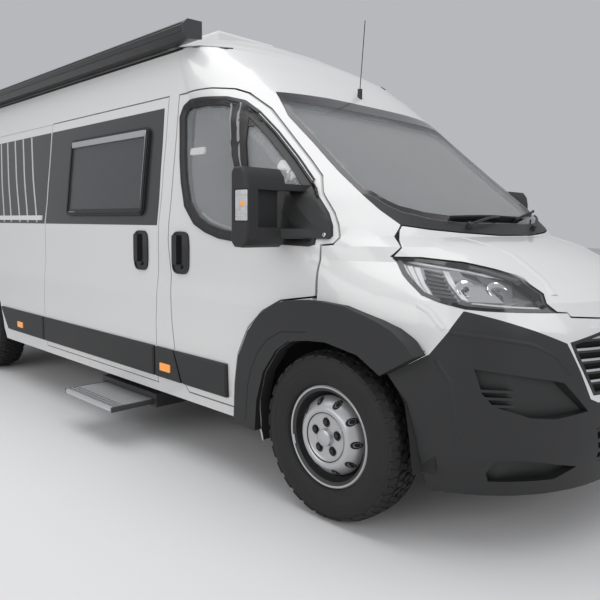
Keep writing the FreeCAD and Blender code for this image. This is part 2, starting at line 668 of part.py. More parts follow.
def sliding_door():
    """Side door over the step, shut; its window unit is bolted through it."""
    door = box_form(0).cut(box_form(WALL)).common(sliding_door_opening(0))
    return door.cut(side_prism(CAMPER_WINDOW, -HALF, -700, -22))


def sliding_door_opening(gap):
    return block(-2772 - gap, -1300 + gap, -HALF, -700, 372 - gap, 1955 + gap)


def load_walls():
    """Both side walls of the load space with rear arches, the side door's hole and windows."""
    walls = box_form(0).cut(box_form(WALL))
    outline = [(x - WHEELBASE, z) for x, z in ARCH]
    arch = side_prism(outline, -HALF, -450, REAR_ARCH_GROWTH)
    window = side_prism(CAMPER_WINDOW, -HALF, -700, -22)
    return walls.cut(Part.makeCompound(both(arch) + both(window)))


def side_right(walls):
    """Right wall with the side door's opening and the door's rear rail."""
    rail = box_form(-9).cut(box_form(0)).common(side_prism(DOOR_RAIL, -HALF, -700))
    wall = walls.common(block(REAR_END, CAB_REAR, -HALF, 0, 0, 3000))
    return wall.cut(sliding_door_opening(DOOR_GAP)).fuse(rail)


def side_left(walls):
    return walls.common(block(REAR_END, CAB_REAR, 0, HALF, 0, 3000))


def camper_window():
    """Acrylic window in its frame: a flange on the skin, a throat through the wall, a pane."""
    inner = side_prism(CAMPER_WINDOW, -HALF, -700, -34)
    flange = box_form(-16).cut(box_form(0)).common(side_prism(CAMPER_WINDOW, -HALF, -700))
    throat = box_form(0).cut(box_form(WALL - 15)).common(side_prism(CAMPER_WINDOW, -HALF, -700, -22))
    frame = fuse([flange, throat]).cut(inner)
    pane = box_form(-12).cut(box_form(-6)).common(inner)
    return [frame, pane]


def camper_windows():
    right = camper_window()
    return Part.makeCompound(right + [mirrored(p) for p in right])


def roof():
    """Moulded high roof from the windscreen header to the rear doors."""
    opening = front_prism(symmetric(REAR_DOOR), REAR_END - 50, REAR_END + 200, DOOR_GAP)
    return roof_form(0).cut(roof_form(WALL)).cut(opening)


def roof_fittings():
    """Two roof lights in low frames, and the whip aerial over the windscreen."""
    lights = []
    for x, half, deep in ((-2050, 350, 250), (-3900, 200, 200)):
        frame = block(x - half, x + half, -deep, deep, 2455, 2535)
        frame = frame.makeFillet(25, [e for e in frame.Edges if e.BoundBox.ZMin > 2530])
        lights.append(frame.cut(roof_form(0)))
    foot = post(14, 1960, 2052, AERIAL_X, 0).cut(cab_form(0))
    whip = Part.makeCylinder(2.5, 380, V(FRONT_AXLE_X + AERIAL_X, 0, 2050), V(0.07, 0, 1))
    return Part.makeCompound(lights + [fuse([foot, whip]).cut(cab_form(0)).cut(roof_form(0))])


def rear_hinge(side):
    """Carried and turning parts of a rear door's hinges."""
    x, y = REAR_END - REAR_PIN_OUT, -REAR_PIN_Y
    carried, turning = [], []
    for z in REAR_PIN_HEIGHTS:
        carried.append(post(PIN_RADIUS + 1, z - 40, z + 40, x, y))
        turning.append(post(BARREL_RADIUS + 3, z - 20, z + 20, x, y))
        turning.append(block(REAR_END - 8, REAR_END, y, y + 60, z - 20, z + 20))
        for z0 in (z - 40, z + 20 + SEAT):
            carried.append(post(BARREL_RADIUS + 3, z0, z0 + 20 - SEAT, x, y))
            carried.append(block(x, REAR_END, y - 40, y, z0, z0 + 20 - SEAT))
    bore = [post(PIN_RADIUS + 1 + RUNNING_CLEARANCE, z - 60, z + 60, x, y)
            for z in REAR_PIN_HEIGHTS]
    return on_side(fuse(carried), side), on_side(fuse(turning).cut(fuse(bore)), side)


def tail_frame():
    """Rear hoop round the doors with the fixed hinge parts."""
    frame = box_form(WALL, REAR_END, REAR_END + WALL)
    frame = frame.cut(front_prism(symmetric(REAR_DOOR), REAR_END - 50, REAR_END + 200, DOOR_GAP))
    for side in (-1, 1):
        frame = frame.fuse(rear_hinge(side)[0])
    return frame


def rear_door(side):
    """Rear door with its window and the turning hinge parts."""
    outline = [(-y, z) for y, z in REAR_DOOR]
    window = [(-y, z) for y, z in REAR_WINDOW]
    panel = front_prism(outline, REAR_END, REAR_END + WALL - 10)
    panel = panel.cut(front_prism(window, REAR_END - 50, REAR_END + 200))
    return on_side(panel, side).fuse(rear_hinge(side)[1])


def rear_door_glass(side):
    window = [(-y, z) for y, z in REAR_WINDOW]
    return on_side(front_prism(window, REAR_END + 10, REAR_END + 10 + GLASS), side)


def rear_bumper():
    """Full-width bumper with a step and rounded corners."""
    bumper = block(-LENGTH + FRONT_OVERHANG, REAR_END, -985, 985, 330, 500)
    tops = [e for e in bumper.Edges if e.BoundBox.XMax < FRONT_AXLE_X + REAR_END - 40
            and e.BoundBox.ZLength > 100]
    return bumper.makeFillet(40, tops)


def tail_lamps():
    """Upright lamps on the rear corners."""
    lamp = block(REAR_END - 12, REAR_END + 14, -925, -840, 900, 1460).cut(box_form(0))
    return pair(lamp)


def arch_flares(skin):
    """Trims of the front arches, standing proud of the body."""
    ring = side_prism(FLARE, -1024, -940).cut(side_prism(ARCH, -1100, -900))
    seam = ((-700, 300), (-700, 1000), (440, 1000), (446, 786), (286, 688), (286, 300))
    front = ring.common(side_prism(seam, -1100, -900)).cut(skin)
    return pair(front)


def rear_axle():
    """Beam axle with stubs in the wheels."""
    y = REAR_TRACK / 2
    tube = bar(45, -y + 100, y - 100, -WHEELBASE, AXLE_Z)
    stubs = bar(STUB_RADIUS, -y - MOUNT_FACE - 20, y + MOUNT_FACE + 20, -WHEELBASE, AXLE_Z)
    flange = bar(60, -y + 30, -y + 120, -WHEELBASE, AXLE_Z)
    pad = block(-WHEELBASE - 50, -WHEELBASE + 50, -600, -520, 380, 416)
    return [tube, stubs] + both(flange) + both(pad)


def leaf_spring():
    """Single tapered leaf with its end shackles."""
    leaf = side_prism([(-WHEELBASE + x, z) for x, z in
                       ((-700, 460), (-300, 428), (-60, 416), (60, 416), (300, 428), (700, 460),
                        (700, 475), (300, 445), (0, 434), (-300, 445), (-700, 475))], -595, -525)
    ends = [block(-WHEELBASE + x - 30, -WHEELBASE + x + 30, -600, -520, 470, 500)
            for x in (-680, 680)]
    return fuse([leaf] + ends)


def rear_suspension():
    return fuse(rear_axle() + both(leaf_spring()))


def entrance_step():
    """Electric step: a housing under the sill and a tread that slides out of it."""
    x0, x1 = STEP_FRONT - STEP_WIDTH, STEP_FRONT
    housing = block(x0 - 30, x1 + 30, -965, -600, STEP_Z - 15, STEP_Z + 65)
    housing = housing.cut(block(x0 - SEAT, x1 + SEAT, -1000, -605, STEP_Z - SEAT, STEP_Z + 36))
    hangers = [block(x, x + 30, -900, -610, STEP_Z + 65, 500) for x in (x0, x1 - 30)]
    tread = block(x0, x1, -STEP_OUT, -STEP_OUT + 360, STEP_Z, STEP_Z + 30)
    return fuse([housing] + hangers), tread


def awning():
    """Closed awning case along the roof edge on three brackets."""
    section = ((-826, 2240), (-905, 2232), (-940, 2256), (-944, 2292), (-915, 2322), (-826, 2326))
    case = front_prism(section, AWNING_FRONT - AWNING_LENGTH, AWNING_FRONT)
    brackets = [block(x, x + 80, -828, -750, 2276, 2300) for x in (-1500, -2900, -4400)]
    return fuse([case] + brackets).cut(roof_form(0))


def curtain(bottom):
    """Curtain gathered at the rear of a camper window, hung on its rail."""
    cloth = box_form(WALL + 7).cut(box_form(WALL + 13)).common(
        block(-2400, -2150, -HALF, 0, bottom, 1800))
    rail = box_form(WALL + SEAT).cut(box_form(WALL + 20)).common(
        block(-2440, -1440, -HALF, 0, 1800 + SEAT, 1816))
    return [cloth, rail]


def blinds():
    """Folding blind drawn across the windscreen and a curtain in each camper window."""
    screen = cab_form(40).cut(cab_form(44)).common(
        front_prism(symmetric(WINDSCREEN), -1000, 700, -SEAT))
    doors = side_prism(FRONT_DOOR, -HALF, -400, 12)
    screen = screen.cut(Part.makeCompound(both(doors)))
    left = [mirrored(piece) for piece in curtain(1440)]
    return Part.makeCompound([screen] + curtain(1320) + left)


def on_column(shape):
    """Set a shape drawn about the column's axis in its tilted place."""
    centre = V(FRONT_AXLE_X + STEERING_X, STEERING_Y, STEERING_Z)
    shape.Placement = FreeCAD.Placement(centre, FreeCAD.Rotation(V(0, 1, 0), -COLUMN_TILT))
    return shape


def steering_wheel():
    """Rim, three spokes and hub on a tilted column at the left seat."""
    ring = Part.makeTorus(190, 14)
    hub = Part.makeCylinder(55, 50, V(0, 0, -30))
    column = Part.makeCylinder(16, COLUMN - 20, V(0, 0, -COLUMN))
    spokes = []
    for k in range(3):
        spoke = Part.makeBox(180, 30, 14, V(0, -15, -7))
        spoke.rotate(V(0, 0, 0), V(0, 0, 1), 150 + 120 * k)
        spokes.append(spoke)
    return on_column(fuse([ring, hub, column] + spokes))


def dashboard():
    """Dashboard across the cab with the driver's hood and the column's sleeve."""
    dash = side_prism(((BULKHEAD, 930), (-300, 930), (-330, 1060), (-250, 1180), (20, 1200),
                       (BULKHEAD, 1190)), -780, 780)
    shroud = side_prism(((-290, 930), (-470, 930), (-470, 965), (-290, 1070)), 365, 455)
    hood = side_prism(((-270, 1150), (-300, 1225), (-120, 1235), (-80, 1150)), 260, 560)
    sleeve = on_column(Part.makeCylinder(30, 170, V(0, 0, -COLUMN - SEAT - 170)))
    return fuse([dash, shroud, hood, sleeve])


def cab_seat(y):
    """Captain's chair: pedestal, cushion, backrest and headrest as one upholstered piece."""
    x = -960
    pedestal = block(x - 170, x + 190, y - 190, y + 190, FLOOR_Z, 800)
    cushion = side_prism(((x - 250, 800), (x + 270, 800), (x + 290, 880), (x + 260, 930),
                          (x - 200, 905), (x - 250, 930)), y - 250, y + 250)
    back = side_prism(((x - 230, 860), (x - 120, 900), (x - 200, 1480), (x - 260, 1520),
                       (x - 310, 1490)), y - 240, y + 240)
    headrest = side_prism(((x - 300, 1490), (x - 210, 1490), (x - 225, 1690), (x - 300, 1690)),
                          y - 130, y + 130)
    return fuse([pedestal, cushion, back, headrest])


def furniture():
    """Kitchen block along the left wall and the frame of the cross bed."""
    kitchen = block(-2700, -1500, 440, 880, FLOOR_Z, 1430)
    posts = [block(x, x + 40, y, y + 40, FLOOR_Z, 980) for x in (-4850, -3040) for y in (-820, 780)]
    bed = fuse([block(-4850, -3000, -840, 840, 980, 1000)] + posts)
    return Part.makeCompound([kitchen, bed])


def mattress():
    return block(-4850, -3000, -840, 840, 1000, 1120)


def floor():
    """Load floor and cab floor round the four wheelhouses."""
    load = block(REAR_END + WALL, CAB_REAR, -HALF, HALF, FLOOR_Z - 35, FLOOR_Z)
    load = load.common(box_form(WALL))
    cab = block(CAB_REAR, BULKHEAD, -HALF, HALF, FLOOR_Z - 35, FLOOR_Z).common(cab_form(WALL))
    rear_liner = [(x - WHEELBASE, z) for x, z in LINER]
    for y0, y1, inner in ((-HALF, -640, -545), (640, HALF, 545)):
        load = load.cut(side_prism(rear_liner, y0, y1, 10))
        cab = cab.cut(side_prism(LINER, *sorted((inner, y0 if y0 < 0 else y1)), 10))
    return load.fuse(cab).removeSplitter()


def cab_pieces():
    """The cab's outer form parted along its real panel gaps."""
    skin = cab_skin()
    sheet = skin.cut(cab_form(SHEET))
    moulding = skin.cut(cab_form(MOULDING))
    lamps = both(lamp_prism())
    front_tools = Part.makeCompound(lamps).fuse([bonnet_opening(), bumper_prism(), grille_prism()])
    front_tools = front_tools.fuse(front_prism(symmetric(COWL), -300, 900))
    front_tools = front_tools.fuse(front_prism(symmetric(WINDSCREEN), -900, 900))
    front_tools = front_tools.fuse(both(side_prism(FRONT_DOOR, -HALF, -600, HINGE_GAP)))
    pieces = {
        "windscreen": windscreen(skin), "cowl": cowl(sheet), "bonnet": bonnet(moulding),
        "headlamps": headlamps(skin), "front_bumper": front_bumper(skin, moulding),
        "grille": grille(moulding), "fenders": fenders(sheet, front_tools),
        "nose_panel": nose_panel(sheet, front_tools), "cab_frame": cab_frame(skin),
        "arch_flares": arch_flares(cab_form(0)),
    }
    for name, side in (("right", -1), ("left", 1)):
        pieces["front_door_" + name] = front_door(skin, side)
        pieces["front_door_glass_" + name] = front_door_glass(side)
        pieces["mirror_" + name] = mirror(side)
        pieces["door_strip_" + name] = rub_strip(-1026, -1105, -655, -655, cab_form(0), side)
    return pieces


def body_pieces():
    """Load space, roof, tail and what is fixed to them."""
    walls = load_walls()
    skin = box_form(0)
    strips = [rub_strip(-2762, -2762, -1310, -1310, skin, -1),
              rub_strip(-3447, -3588, -2784, -2784, skin, -1),
              rub_strip(-3447, -3588, -1310, -1310, skin, 1)]
    for side in (-1, 1):
        strips.append(rub_strip(-1289, -1289, -1121, -1047, cab_form(0), side))
    pieces = {
        "sliding_door": sliding_door(), "side_right": side_right(walls),
        "side_left": side_left(walls), "camper_windows": camper_windows(), "roof": roof(),
        "roof_fittings": roof_fittings(), "tail_frame": tail_frame(), "rear_bumper": rear_bumper(),
        "tail_lamps": tail_lamps(), "awning": awning(), "side_strips": Part.makeCompound(strips),
    }
    pieces["step_housing"], pieces["step_tread"] = entrance_step()
    for name, side in (("right", -1), ("left", 1)):
        pieces["rear_door_" + name] = rear_door(side)
        pieces["rear_door_glass_" + name] = rear_door_glass(side)
    return pieces


def inner_pieces():
    """What is inside: cab fittings, furniture, floor and bulkhead."""
    return {
        "steering_wheel": steering_wheel(), "dashboard": dashboard(),
        "seats": Part.makeCompound([cab_seat(-430), cab_seat(430)]), "blinds": blinds(),
        "furniture": furniture(), "mattress": mattress(), "floor": floor(),
        "bulkhead": bulkhead(), "wheelhouses": wheelhouses(),
    }


def running_gear():
    """Chassis, axles, wheels and what drives them."""
    pieces = {
        "chassis_rails": chassis_rails(), "engine": engine(),
        "tanks_and_exhaust": tanks_and_exhaust(), "front_axle_frame": front_axle_frame(),
        "rear_axle": rear_suspension(),
    }
    for name, side in (("right", -1), ("left", 1)):
        pieces["knuckle_" + name] = knuckle(side)
        for end, x, track in (("front", FRONT_AXLE_X, FRONT_TRACK), ("rear", REAR_AXLE_X, REAR_TRACK)):
            centre = wheel_place(x, track, side)
            pieces["tyre_%s_%s" % (end, name)] = tyre(centre, side)
            pieces["rim_%s_%s" % (end, name)] = wheel(centre, side)
    return pieces


for group in (cab_pieces(), body_pieces(), inner_pieces(), running_gear()):
    for name, shape in group.items():
        shape.exportStep("parts/%s.step" % name)
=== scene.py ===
import bpy
import bmesh
import json
import math
from mathutils import Matrix, Vector
from mathutils.bvhtree import BVHTree

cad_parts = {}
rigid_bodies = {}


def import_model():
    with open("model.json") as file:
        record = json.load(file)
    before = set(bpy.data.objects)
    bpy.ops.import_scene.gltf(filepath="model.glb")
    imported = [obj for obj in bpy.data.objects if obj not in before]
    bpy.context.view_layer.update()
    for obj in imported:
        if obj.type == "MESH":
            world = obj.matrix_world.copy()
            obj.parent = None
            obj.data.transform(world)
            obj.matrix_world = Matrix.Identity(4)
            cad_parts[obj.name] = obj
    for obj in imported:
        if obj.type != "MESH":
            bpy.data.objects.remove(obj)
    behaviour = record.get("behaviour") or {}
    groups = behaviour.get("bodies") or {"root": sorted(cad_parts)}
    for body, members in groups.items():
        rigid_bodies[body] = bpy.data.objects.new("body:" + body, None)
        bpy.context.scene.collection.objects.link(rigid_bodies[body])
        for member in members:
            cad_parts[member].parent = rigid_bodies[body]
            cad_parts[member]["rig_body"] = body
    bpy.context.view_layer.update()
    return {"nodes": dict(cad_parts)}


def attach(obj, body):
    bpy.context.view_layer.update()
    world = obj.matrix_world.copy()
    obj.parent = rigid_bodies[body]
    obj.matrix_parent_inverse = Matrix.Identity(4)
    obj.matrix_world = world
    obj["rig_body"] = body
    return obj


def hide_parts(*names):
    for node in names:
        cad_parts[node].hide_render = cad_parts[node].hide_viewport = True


# Camper van on a long-wheelbase, high-roof panel van: looks laid over the
# constructed frame. Metres; +X to the nose, +Y to the van's left, +Z up.

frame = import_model()

# Painted shell: pressed steel panels of cab, load space, doors and bonnet, seam-welded
# or hinged along narrow gaps, with a moulded high roof. White two-layer paint outside,
# plain primer-white inside.
SHELL = ("cab_frame", "side_right", "side_left", "roof", "tail_frame", "sliding_door",
         "front_door_right", "front_door_left", "rear_door_right", "rear_door_left",
         "bonnet", "fenders", "nose_panel")


def finish_of(name, colour, rough, metal=0.0, coat=0.0, grain=0.0, pitch=0.004, cloud=0.04,
              patch=0.6, alpha=1.0, glow=0.0):
    """A surface with cloudy tone, uneven gloss and a fine grain in relief."""
    made = bpy.data.materials.new(name)
    made.use_nodes = True
    nodes, links = made.node_tree.nodes, made.node_tree.links
    shader = nodes["Principled BSDF"]
    place = nodes.new("ShaderNodeTexCoord")
    clouds = nodes.new("ShaderNodeTexNoise")
    clouds.inputs["Scale"].default_value = 1.0 / patch
    clouds.inputs["Detail"].default_value = 5.0
    links.new(place.outputs["Object"], clouds.inputs["Vector"])
    tone = nodes.new("ShaderNodeMix")
    tone.data_type = "RGBA"
    tone.inputs["A"].default_value = [c * (1 - cloud) for c in colour] + [1]
    tone.inputs["B"].default_value = [min(c * (1 + cloud), 1.0) for c in colour] + [1]
    links.new(clouds.outputs["Fac"], tone.inputs["Factor"])
    links.new(tone.outputs["Result"], shader.inputs["Base Color"])
    fine = nodes.new("ShaderNodeTexNoise")
    fine.inputs["Scale"].default_value = 1.0 / pitch
    fine.inputs["Detail"].default_value = 3.0
    links.new(place.outputs["Object"], fine.inputs["Vector"])
    gloss = nodes.new("ShaderNodeMapRange")
    gloss.inputs["To Min"].default_value = rough * 0.88
    gloss.inputs["To Max"].default_value = min(rough * 1.12, 1.0)
    links.new(clouds.outputs["Fac"], gloss.inputs["Value"])
    links.new(gloss.outputs["Result"], shader.inputs["Roughness"])
    relief = nodes.new("ShaderNodeBump")
    relief.inputs["Strength"].default_value = grain
    relief.inputs["Distance"].default_value = pitch * 0.3
    links.new(fine.outputs["Fac"], relief.inputs["Height"])
    links.new(relief.outputs["Normal"], shader.inputs["Normal"])
    for entry, value in (("Metallic", metal), ("Coat Weight", coat), ("Coat Roughness", 0.05),
                         ("Alpha", alpha)):
        shader.inputs[entry].default_value = value
    if glow:
        shader.inputs["Emission Color"].default_value = list(colour) + [1]
        shader.inputs["Emission Strength"].default_value = glow
    return made


def shape(name, points, faces, look, body, slot, nodes=(), angle=32):
    """A mesh piece in the van's frame, smooth up to an edge angle, riding on one body."""
    mesh = bpy.data.meshes.new(name)
    mesh.from_pydata([tuple(p) for p in points], [], faces)
    mesh.shade_smooth()
    mesh.set_sharp_from_angle(angle=math.radians(angle))
    mesh.materials.append(look)
    piece = bpy.data.objects.new(name, mesh)
    bpy.context.scene.collection.objects.link(piece)
    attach(piece, body)
    if nodes:
        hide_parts(*nodes)
    return piece


def welded(node):
    """Points and faces of a construction node with its seams joined."""
    work = bmesh.new()
    work.from_mesh(frame["nodes"][node].data)
    bmesh.ops.remove_doubles(work, verts=work.verts, dist=2e-5)
    work.verts.index_update()
    points = [v.co.copy() for v in work.verts]
    faces = [[v.index for v in f.verts] for f in work.faces]
    work.free()
    return points, faces


def body_of(node):
    """The moving body that a construction node rides on."""
    return frame["nodes"][node]["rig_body"]


def surface(node, look, slot, angle=32):
    """The node's own form with smooth shading in place of flat facets."""
    points, faces = welded(node)
    shape(node + "_surface", points, faces, look, body_of(node), slot, [node], angle)


paint = finish_of("white_paint", (0.66, 0.66, 0.655), 0.30, coat=0.6, grain=0.02, pitch=0.0015,
                  cloud=0.012, patch=0.9)
for node in SHELL:
    surface(node, paint, "white_paint", 24)

# Black side panel and light bars: cut vinyl film laid on the paint of the upper side,
# split where it crosses the side door's gap; five slanted light bars follow behind the door.
AXLE = 2.051
PANEL_LOW, PANEL_HIGH = 1.254, 1.898
BAR_LOW, BAR_HIGH, BAR_HALF = 1.262, 1.895, 0.013
SIDES = ((-1, "right"), (1, "left"))
BESIDE = 1.6
film = finish_of("black_film", (0.035, 0.036, 0.038), 0.34, coat=0.3, grain=0.05, pitch=0.002)
light_film = finish_of("light_film", (0.50, 0.50, 0.50), 0.4, grain=0.05, pitch=0.002)


def skin_of(*nodes):
    """The outer faces of some nodes, to lay other pieces on."""
    points, faces = [], []
    for node in nodes:
        more, loops = welded(node)
        faces += [[i + len(points) for i in loop] for loop in loops]
        points += more
    return BVHTree.FromPolygons(points, faces)


def on_flank(skin, x, z, side, lift):
    """Point on a flank at x, z, lifted off the surface; the ray starts beside the van."""
    hit, normal, _, _ = skin.ray_cast(Vector((x, side * BESIDE, z)), Vector((0, -side, 0)))
    if hit is None:
        hit, normal, _, _ = skin.find_nearest(Vector((x, side * 1.0, z)))
    if normal.y * side < 0:
        normal = -normal
    return hit + normal * lift


def flank(skin, side, start=0.0):
    """A way to reach points on one flank, with x counted from a start."""
    return lambda x, z, lift: on_flank(skin, start + x, z, side, lift)


def cells(outline, step):
    """A flat outline cut into small cells: 2-D points and loops."""
    work = bmesh.new()
    work.faces.new([work.verts.new((u, v, 0)) for u, v in outline])
    lows = [min(p[k] for p in outline) for k in (0, 1)]
    highs = [max(p[k] for p in outline) for k in (0, 1)]
    for axis, direction in ((0, (1, 0, 0)), (1, (0, 1, 0))):
        count = int((highs[axis] - lows[axis]) / step)
        for k in range(1, count + 1):
            station = lows[axis] + (highs[axis] - lows[axis]) * k / (count + 1)
            at = [station if a == axis else 0 for a in range(3)]
            bmesh.ops.bisect_plane(work, geom=work.verts[:] + work.edges[:] + work.faces[:],
                                   plane_co=at, plane_no=direction)
    work.verts.index_update()
    points = [(v.co.x, v.co.y) for v in work.verts]
    loops = [[v.index for v in f.verts] for f in work.faces]
    borders = [(e.verts[0].index, e.verts[1].index) for e in work.edges if e.is_boundary]
    work.free()
    return points, loops, borders


def slab(outline, reach, low, high, step=0.06):
    """Points and faces of a sheet between two lifts over a surface; low None leaves it a film."""
    flat, loops, borders = cells(outline, step)
    points = [reach(u, v, high) for u, v in flat]
    if low is None:
        return points, loops
    count = len(points)
    points += [reach(u, v, low) for u, v in flat]
    faces = loops + [[i + count for i in reversed(loop)] for loop in loops]
    faces += [[a, b, b + count, a + count] for a, b in borders]
    return points, faces


def joined(*parts):
    """Several parts as one list of points and faces."""
    points, faces = [], []
    for more, loops in parts:
        faces += [[i + len(points) for i in loop] for loop in loops]
        points += more
    return points, faces


wall_skin = skin_of("side_right", "side_left", "sliding_door")
for side, name in SIDES:
    spans = ((-1.313, -2.769), (-2.787, -4.90)) if side < 0 else ((-1.313, -4.90),)
    sheets = []
    for front, rear in spans:
        slant = 0.02 if front > -2 else 0
        outline = [(AXLE + rear, PANEL_LOW), (AXLE + front, PANEL_LOW),
                   (AXLE + front - slant, PANEL_HIGH), (AXLE + rear, PANEL_HIGH)]
        sheets.append(slab(outline, flank(wall_skin, side), None, 0.0009, 0.08))
    shape("side_panel_film_" + name, *joined(*sheets), film, "body", "tinted_glass")
    bars = []
    for top, foot in ((-3.737, -3.545), (-3.602, -3.400), (-3.447, -3.232), (-3.289, -3.081),
                      (-3.129, -2.918)):
        edge = []
        for k in range(9):
            t = k / 8
            x = AXLE + foot + (top - foot) * (t + 0.10 * math.sin(math.pi * t))
            edge.append((x, BAR_LOW + (BAR_HIGH - BAR_LOW) * t))
        outline = [(x + BAR_HALF, z) for x, z in edge]
        outline += [(x - BAR_HALF, z) for x, z in reversed(edge)]
        bars.append(slab(outline, flank(wall_skin, side), None, 0.0018, 0.08))
    shape("side_bars_" + name, *joined(*bars), light_film, "body", "awning_case")

# Bumpers, arch trims and rub strips: injection-moulded dark polypropylene with a fine
# leather grain, clipped over the sheet metal.
plastic = finish_of("grained_plastic", (0.015, 0.0155, 0.0162), 0.50, grain=0.35, pitch=0.0016,
                    cloud=0.10)
for node in ("front_bumper", "rear_bumper", "arch_flares", "side_strips", "door_strip_right",
             "door_strip_left", "cowl"):
    surface(node, plastic, "grey_plastic", 28)

# Pressed and moulded creases: soft folds rolled into the steel of the bonnet and wings, moulded
# ones in the bumper's corners, a groove round each front flare and its open joint to the bumper;
# the groove and the joint are laid on as near-black strips of painted shade.
# Near-black for the grille's insect screen, also used as painted shade in grooves, joints and wheel
# recesses.
screen_black_and_painted_shade = finish_of("screen_black_and_painted_shade", (0.005, 0.005, 0.005), 0.7, grain=0.8, pitch=0.006)
AHEAD = 3.6
bonnet_skin = skin_of("bonnet")
bumper_skin = skin_of("front_bumper")


def on_face(skin, y, z, lift):
    """Point on the van's front at y, z, lifted off the surface; the ray starts ahead of it."""
    hit, normal, _, _ = skin.ray_cast(Vector((AHEAD, y, z)), Vector((-1, 0, 0)))
    if hit is None:
        hit, normal, _, _ = skin.find_nearest(Vector((2.7, y, z)))
    if normal.x < 0:
        normal = -normal
    return hit + normal * lift


def nose(skin):
    """A way to reach points on the van's front."""
    return lambda y, z, lift: on_face(skin, y, z, lift)


def strips(rows, n, closed=False, across=False):
    """Four-cornered faces between rows of n points each."""
    faces = []
    for r in range(rows - 1):
        for i in range(n if closed else n - 1):
            a, b = r * n + i, r * n + (i + 1) % n
            faces.append([a, a + n, b + n, b] if across else [a, b, b + n, a + n])
    return faces


def ridge(places, reach, width, height):
    """A soft fold along a line of places on a surface."""
    feet = [reach(u, v, 0.0) for u, v in places]
    points = []
    for i, foot in enumerate(feet):
        normal = (reach(*places[i], 0.01) - foot).normalized()
        along = feet[min(i + 1, len(feet) - 1)] - feet[max(i - 1, 0)]
        across = along.cross(normal).normalized() * width
        points += [foot + across * t + normal * height * h
                   for t, h in ((-0.5, -0.5), (-0.2, 0.5), (0, 1), (0.2, 0.5), (0.5, -0.5))]
    return points, strips(len(feet), 5, across=True)


def between(places, step=0.02):
    """A line of places with more places between them."""
    points = []
    for (u0, v0), (u1, v1) in zip(places, places[1:]):
        count = max(1, round(math.hypot(u1 - u0, v1 - v0) / step))
        points += [(u0 + (u1 - u0) * k / count, v0 + (v1 - v0) * k / count) for k in range(count)]
    return points + [places[-1]]


folds, corners = [], []
for s in (-1, 1):
    line = [(s * y, z) for y, z in ((0.446, 1.220), (0.428, 1.188), (0.417, 1.150), (0.440, 1.112),
                                    (0.479, 1.076), (0.520, 1.040), (0.548, 1.010))]
    folds.append(ridge(between(line), nose(bonnet_skin), 0.050, 0.0030))
    for line in (((0.884, 0.872), (0.808, 0.860), (0.702, 0.838), (0.622, 0.792), (0.560, 0.715)),
                 ((0.908, 0.765), (0.900, 0.730), (0.886, 0.687), (0.876, 0.562), (0.864, 0.440))):
        places = between([(s * y, z) for y, z in line])
        corners.append(ridge(places, nose(bumper_skin), 0.028, 0.0045))
fender_skin = skin_of("fenders")
flare_skin = skin_of("arch_flares")
folds_wing, grooves = [], []
for s in (-1, 1):
    places = between([(AXLE + x, z) for x, z in ((0.385, 0.972), (0.434, 0.945), (0.488, 0.885))])
    folds_wing.append(ridge(places, flank(fender_skin, s), 0.040, 0.0022))
    # The flare's groove and its joint to the bumper are near-black strips of painted shade, not cut
    # in.
    line = ((-0.100, 0.812), (-0.259, 0.794), (-0.349, 0.746), (-0.409, 0.682), (-0.459, 0.593),
            (-0.484, 0.506), (-0.498, 0.343))
    places = between([(AXLE + x, z) for x, z in line])
    grooves.append(ridge(places, flank(flare_skin, s), 0.009, 0.0012))
    joint = ((0.283, 0.672), (0.330, 0.703), (0.380, 0.735), (0.440, 0.774))
    outline = [(AXLE + x, z) for x, z in joint]
    outline += [(AXLE + x - 0.008, z + 0.026) for x, z in reversed(joint)]
    grooves.append(slab(outline, flank(fender_skin, s), None, 0.0012, 0.03))
shape("bonnet_creases", *joined(*folds), paint, "bonnet", "white_paint", angle=180)
shape("wing_creases", *joined(*folds_wing), paint, "body", "white_paint", angle=180)
shape("flare_grooves_painted_shade", *joined(*grooves), screen_black_and_painted_shade, "body", "grey_plastic", angle=180)
shape("bumper_creases", *joined(*corners), plastic, "body", "grey_plastic", angle=180)

# Marker lamps: small amber acrylic lenses with a prism back, snapped into openings of the rub
# strips, two on each side.
amber = finish_of("amber_lens", (0.85, 0.30, 0.02), 0.18, coat=0.8, grain=0.5, pitch=0.004,
                  glow=0.25)
strip_skin = skin_of("side_strips")


def rounded(x0, x1, z0, z1, r, steps=5):
    """Rectangle with rounded corners as an outline."""
    points = []
    for cx, cz, start in ((x1 - r, z1 - r, 0), (x0 + r, z1 - r, 90), (x0 + r, z0 + r, 180),
                          (x1 - r, z0 + r, 270)):
        for k in range(steps + 1):
            a = math.radians(start + 90 * k / steps)
            points.append((cx + r * math.cos(a), cz + r * math.sin(a)))
    return points


for side, name in SIDES:
    lenses = []
    for x in (-1.182, -3.188):
        outline = rounded(AXLE + x - 0.050, AXLE + x + 0.050, 0.454, 0.498, 0.006, 3)
        lenses.append(slab(outline, flank(strip_skin, side), -0.004, 0.005, 0.02))
    shape("marker_lamps_" + name, *joined(*lenses), amber, "body", "lamp_red")

# Grille: black moulded frame filled by five louvres on three upright ties, a bright trim along
# each louvre's upper edge, in front of a fine insect screen that is clipped in from behind.
GRILLE_FOOT, GRILLE_TOP = 0.640, 0.866
GRILLE = ((0.876, 0.442), (0.842, 0.574), (0.780, 0.545), (0.700, 0.500), (0.630, 0.458))
bright = finish_of("satin_chrome", (0.62, 0.62, 0.63), 0.22, metal=1.0, grain=0.05, pitch=0.002)
surface("grille", plastic, "grey_plastic", 28)
grille_skin = skin_of("grille")


def facing(points, faces):
    """The same faces, all turned to look outward."""
    work = bmesh.new()
    verts = [work.verts.new(p) for p in points]
    for loop in faces:
        work.faces.new([verts[i] for i in loop])
    bmesh.ops.recalc_face_normals(work, faces=work.faces)
    work.verts.index_update()
    loops = [[v.index for v in f.verts] for f in work.faces]
    work.free()
    return points, loops


